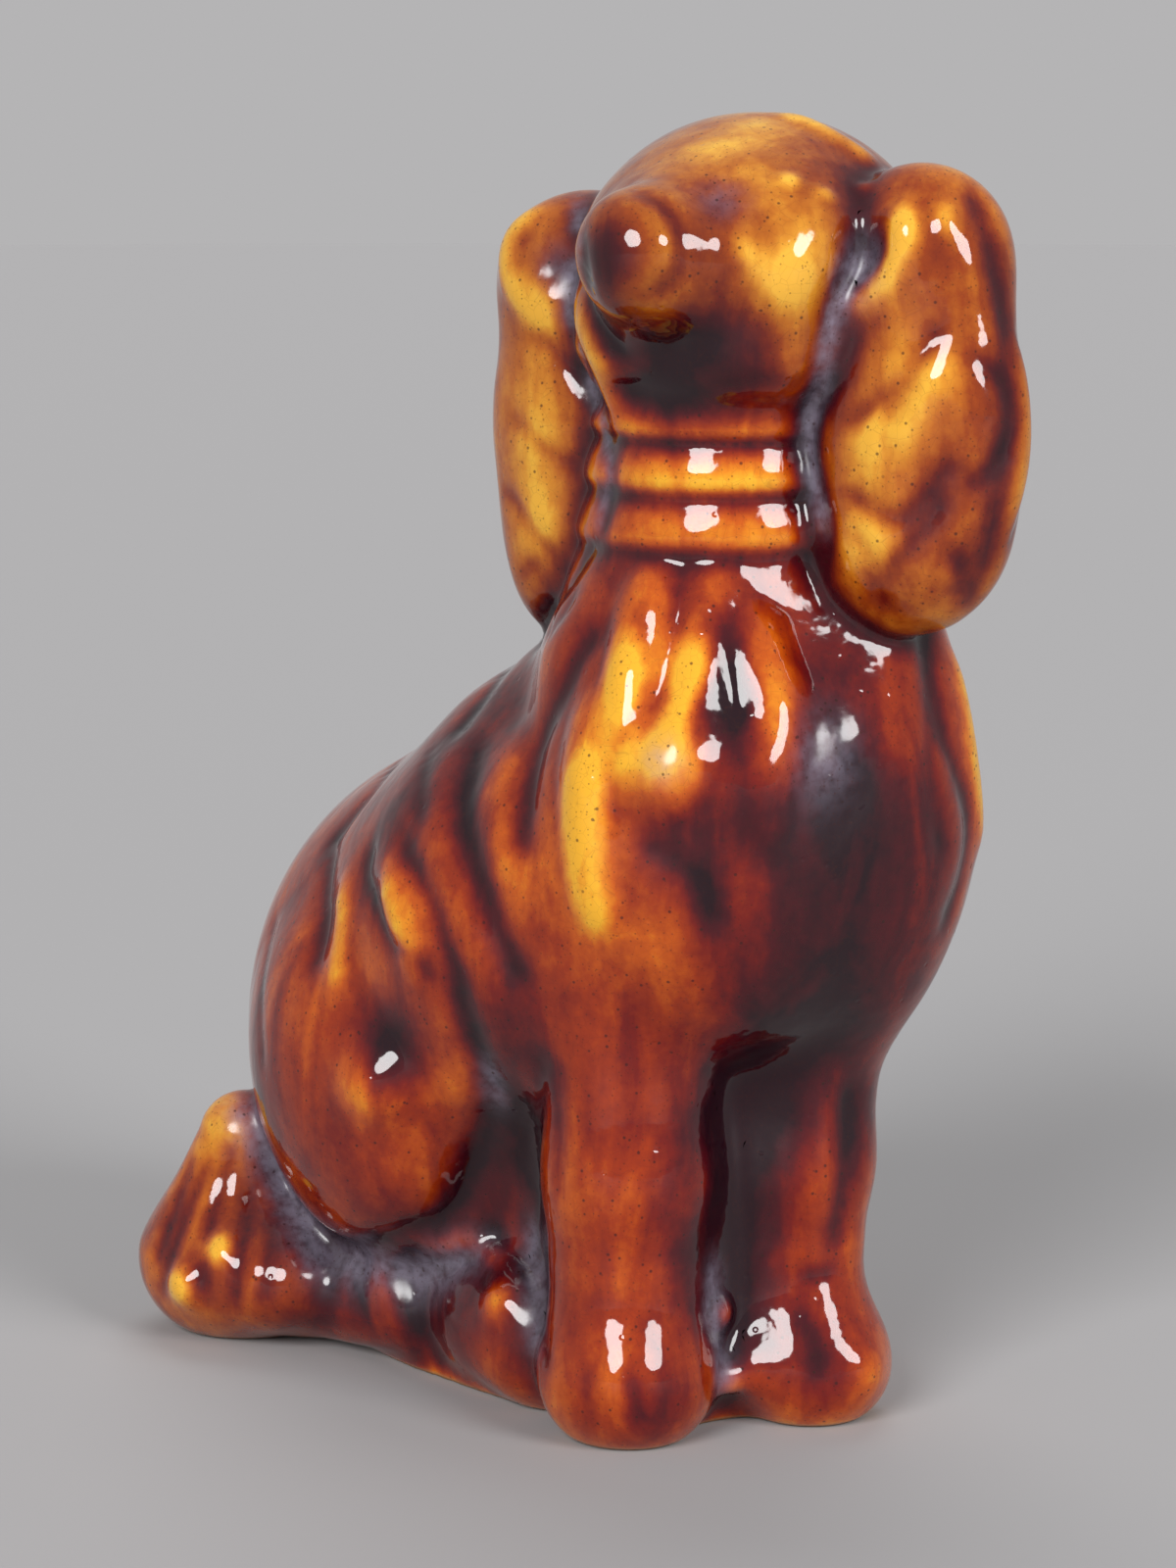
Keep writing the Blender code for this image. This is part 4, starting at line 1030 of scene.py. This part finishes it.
# How much of each of these goes into the glaze's thickness
FORM_SHARES = {"fine": -0.9, "broad": -0.10, "cut": 0.10}
STREAK_SHARE, MOTTLE_SHARE = 0.75, 0.22
GLOSS, DULL, GLAZE_IOR = 0.06, 0.40, 1.5


def new_material(name):
    """A material, its nodes and its shader."""
    material = bpy.data.materials.new(name)
    material.use_nodes = True
    tree = material.node_tree
    shader = tree.nodes["Principled BSDF"]
    return material, Nodes(tree), shader


def millimetres(nodes, stretch=(1.0, 1.0, 1.0)):
    """The place on the piece in millimetres; a stretch below 1 draws a pattern out."""
    place = nodes.add("TexCoord").outputs["Object"]
    mapping = nodes.add("Mapping")
    mapping.inputs["Scale"].default_value = [s / MM for s in stretch]
    nodes.put(mapping.inputs["Vector"], place)
    return mapping.outputs["Vector"]


def glaze(name, base=0.50, yellow=0.0):
    """Treacle glaze over buff clay: thin and amber on what stands proud, dark where it pools, and
    darkened further by dabs of painted shade.
    """
    material, n, shader = new_material(name)
    place = millimetres(n)
    runs = millimetres(n, (1.0, 1.0, 0.3))
    # The tint dabs add thicker and thinner glaze, and painted shade under the chin, chest and
    # haunch and between the legs
    glaze_darkness = n.math("ADD", n.attribute("tint"), base)
    for form, share in FORM_SHARES.items():
        glaze_darkness = n.math("ADD", glaze_darkness, n.math("MULTIPLY", n.attribute(form), share))
    streak = n.noise(runs, 0.16, 4.0, 0.55, 0.4)
    mottle = n.noise(place, 0.55, 4.0, 0.6)
    for noise, share in ((streak, STREAK_SHARE), (mottle, MOTTLE_SHARE)):
        noise = n.math("SUBTRACT", noise, 0.5)
        glaze_darkness = n.math("ADD", glaze_darkness, n.math("MULTIPLY", noise, share))
    colour = n.ramp(glaze_darkness, GLAZE_STOPS)
    split = n.add("SeparateXYZ")
    n.put(split.inputs["Vector"], place)
    height = split.outputs["Z"]
    yellowed = yellow or n.spread(height, HEAD_FROM, HEAD_FULL, 0.0, HEAD_YELLOW)
    colour = n.mix(yellowed, colour, n.ramp(glaze_darkness, YELLOW_STOPS))
    # Clouded glaze mixed in grey-lilac, which also paints sheen and dull lamp reflections into
    # hollows, creases and patches of the chest
    patches = n.spread(n.noise(place, 0.7), 0.3, 0.6, 0.3, 0.8)
    colour = n.mix(n.math("MULTIPLY", n.attribute("bloom_and_sheen"), patches), colour, CLOUD_AND_SHEEN)
    colour = n.mix(n.dots(place, 0.75, (0.45, 0.5), (0.10, 0.17), 0.7), colour, SPECK)
    colour = n.mix(n.dots(place, 1.9, (0.50, 0.54), (0.14, 0.26), 0.5), colour, GRIT)
    crack = n.cells(place, 0.8, "DISTANCE_TO_EDGE")
    colour = n.mix(n.spread(crack.outputs["Distance"], 0.0, 0.03, 0.22, 0.0), colour, CRACK)
    foot = n.spread(height, 0.2, 0.7, 1.0, 0.0)
    n.put(shader.inputs["Base Color"], n.mix(foot, colour, FOOT_RING))
    rough = n.spread(n.attribute("bloom_and_sheen"), 0.0, 0.8, GLOSS, DULL)
    n.put(shader.inputs["Roughness"], n.math("MAXIMUM", rough, n.math("MULTIPLY", foot, 0.75)))
    shader.inputs["IOR"].default_value = GLAZE_IOR
    wave = n.math("MULTIPLY", n.noise(place, 0.28, 2.0, 0.45), 0.5)
    pit = n.spread(n.cells(place, 0.33).outputs["Distance"], 0.05, 0.12, -1.0, 0.0)
    n.bump(shader, n.math("ADD", wave, n.math("MULTIPLY", pit, 0.12)), 0.3, 0.9)
    return material


def bare_clay(name):
    """Buff clay that the glaze left bare, fired to a dry, gritty face."""
    material, n, shader = new_material(name)
    place = millimetres(n)
    grain = n.noise(place, 1.6, 6.0, 0.65)
    stain = n.noise(place, 0.12, 4.0, 0.6)
    colour = n.ramp(grain, ((0.3, linear(168, 120, 78)), (0.7, linear(206, 164, 116))))
    colour = n.mix(n.spread(stain, 0.5, 0.75, 0.0, 0.7), colour, linear(112, 62, 34))
    n.put(shader.inputs["Base Color"], colour)
    shader.inputs["Roughness"].default_value = 0.78
    n.bump(shader, grain, 0.6, 0.25)
    return material


def plain(name, colour, roughness):
    material, _, shader = new_material(name)
    shader.inputs["Base Color"].default_value = colour
    shader.inputs["Roughness"].default_value = roughness
    return material


def aim_at(obj, place, target):
    """Put a lamp or camera at a place, in metres, looking at a target."""
    obj.location = place
    gaze = Vector(target) - Vector(place)
    obj.rotation_euler = gaze.to_track_quat("-Z", "Y").to_euler()


def shifted(point):
    """A point of the modelling frame, in metres, where the part stands."""
    return ((point[0] + SHIFT[0]) * MM, (point[1] + SHIFT[1]) * MM, point[2] * MM)


def add_camera():
    data = bpy.data.cameras.new("camera")
    data.sensor_fit = "VERTICAL"
    data.sensor_height = SENSOR_HEIGHT
    data.lens = SENSOR_HEIGHT * FOCAL_PIXELS / FRAME_HEIGHT
    data.clip_start = NEAREST_SEEN
    camera = new_object("camera", data)
    aim_at(camera, shifted(EYE), shifted(AIM))
    bpy.context.scene.camera = camera


def add_lamp(name, azimuth, elevation, width, strength):
    """A far soft light; its azimuth turns from the front to the dog's left."""
    data = bpy.data.lights.new(name, "SUN")
    data.energy = strength
    data.angle = math.radians(width)
    lamp = new_object(name, data)
    around = math.radians(azimuth)
    up = math.radians(elevation)
    place = (math.cos(up) * math.sin(around), -math.cos(up) * math.cos(around), math.sin(up))
    aim_at(lamp, place, (0, 0, 0))
    lamp.visible_glossy = name not in UNMIRRORED


def add_stage():
    """A pale floor and a studio of the same tone, which lights the figure more weakly."""
    mesh = bpy.data.meshes.new("floor")
    bm = bmesh.new()
    bmesh.ops.create_circle(bm, cap_ends=True, segments=96, radius=FLOOR_RADIUS)
    bm.to_mesh(mesh)
    bm.free()
    mesh.materials.append(plain("pale_floor", PALE_FLOOR, 0.75))
    new_object("floor", mesh)
    world = bpy.data.worlds.new("studio")
    bpy.context.scene.world = world
    world.use_nodes = True
    n = Nodes(world.node_tree)
    background = world.node_tree.nodes["Background"]
    background.inputs["Color"].default_value = STUDIO
    path = n.add("LightPath").outputs
    seen = n.math("MAXIMUM", path["Is Camera Ray"], path["Is Glossy Ray"])
    seen = n.math("MAXIMUM", seen, path["Is Transmission Ray"])
    n.put(background.inputs["Strength"], n.spread(seen, 0.0, 1.0, AMBIENT))


bpy.context.scene.view_settings.view_transform = "Standard"
add_camera()
add_stage()
for lamp in LAMPS:
    add_lamp(*lamp)

glazed = sorted(set(SLOTS.values()) - {"bare_clay"})
materials = {slot: glaze(slot, yellow=YELLOW_SHARES.get(slot, 0.0)) for slot in glazed}
materials["bare_clay"] = glaze("base_glaze", 0.55)
for name, piece in make_pieces(*sculpt()).items():
    piece.data.materials.append(materials[SLOTS[name]])
    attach(piece, "root")
    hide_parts(name)
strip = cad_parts["seam_strip"]
strip.data.materials.clear()
strip.data.materials.append(bare_clay("raw_clay"))
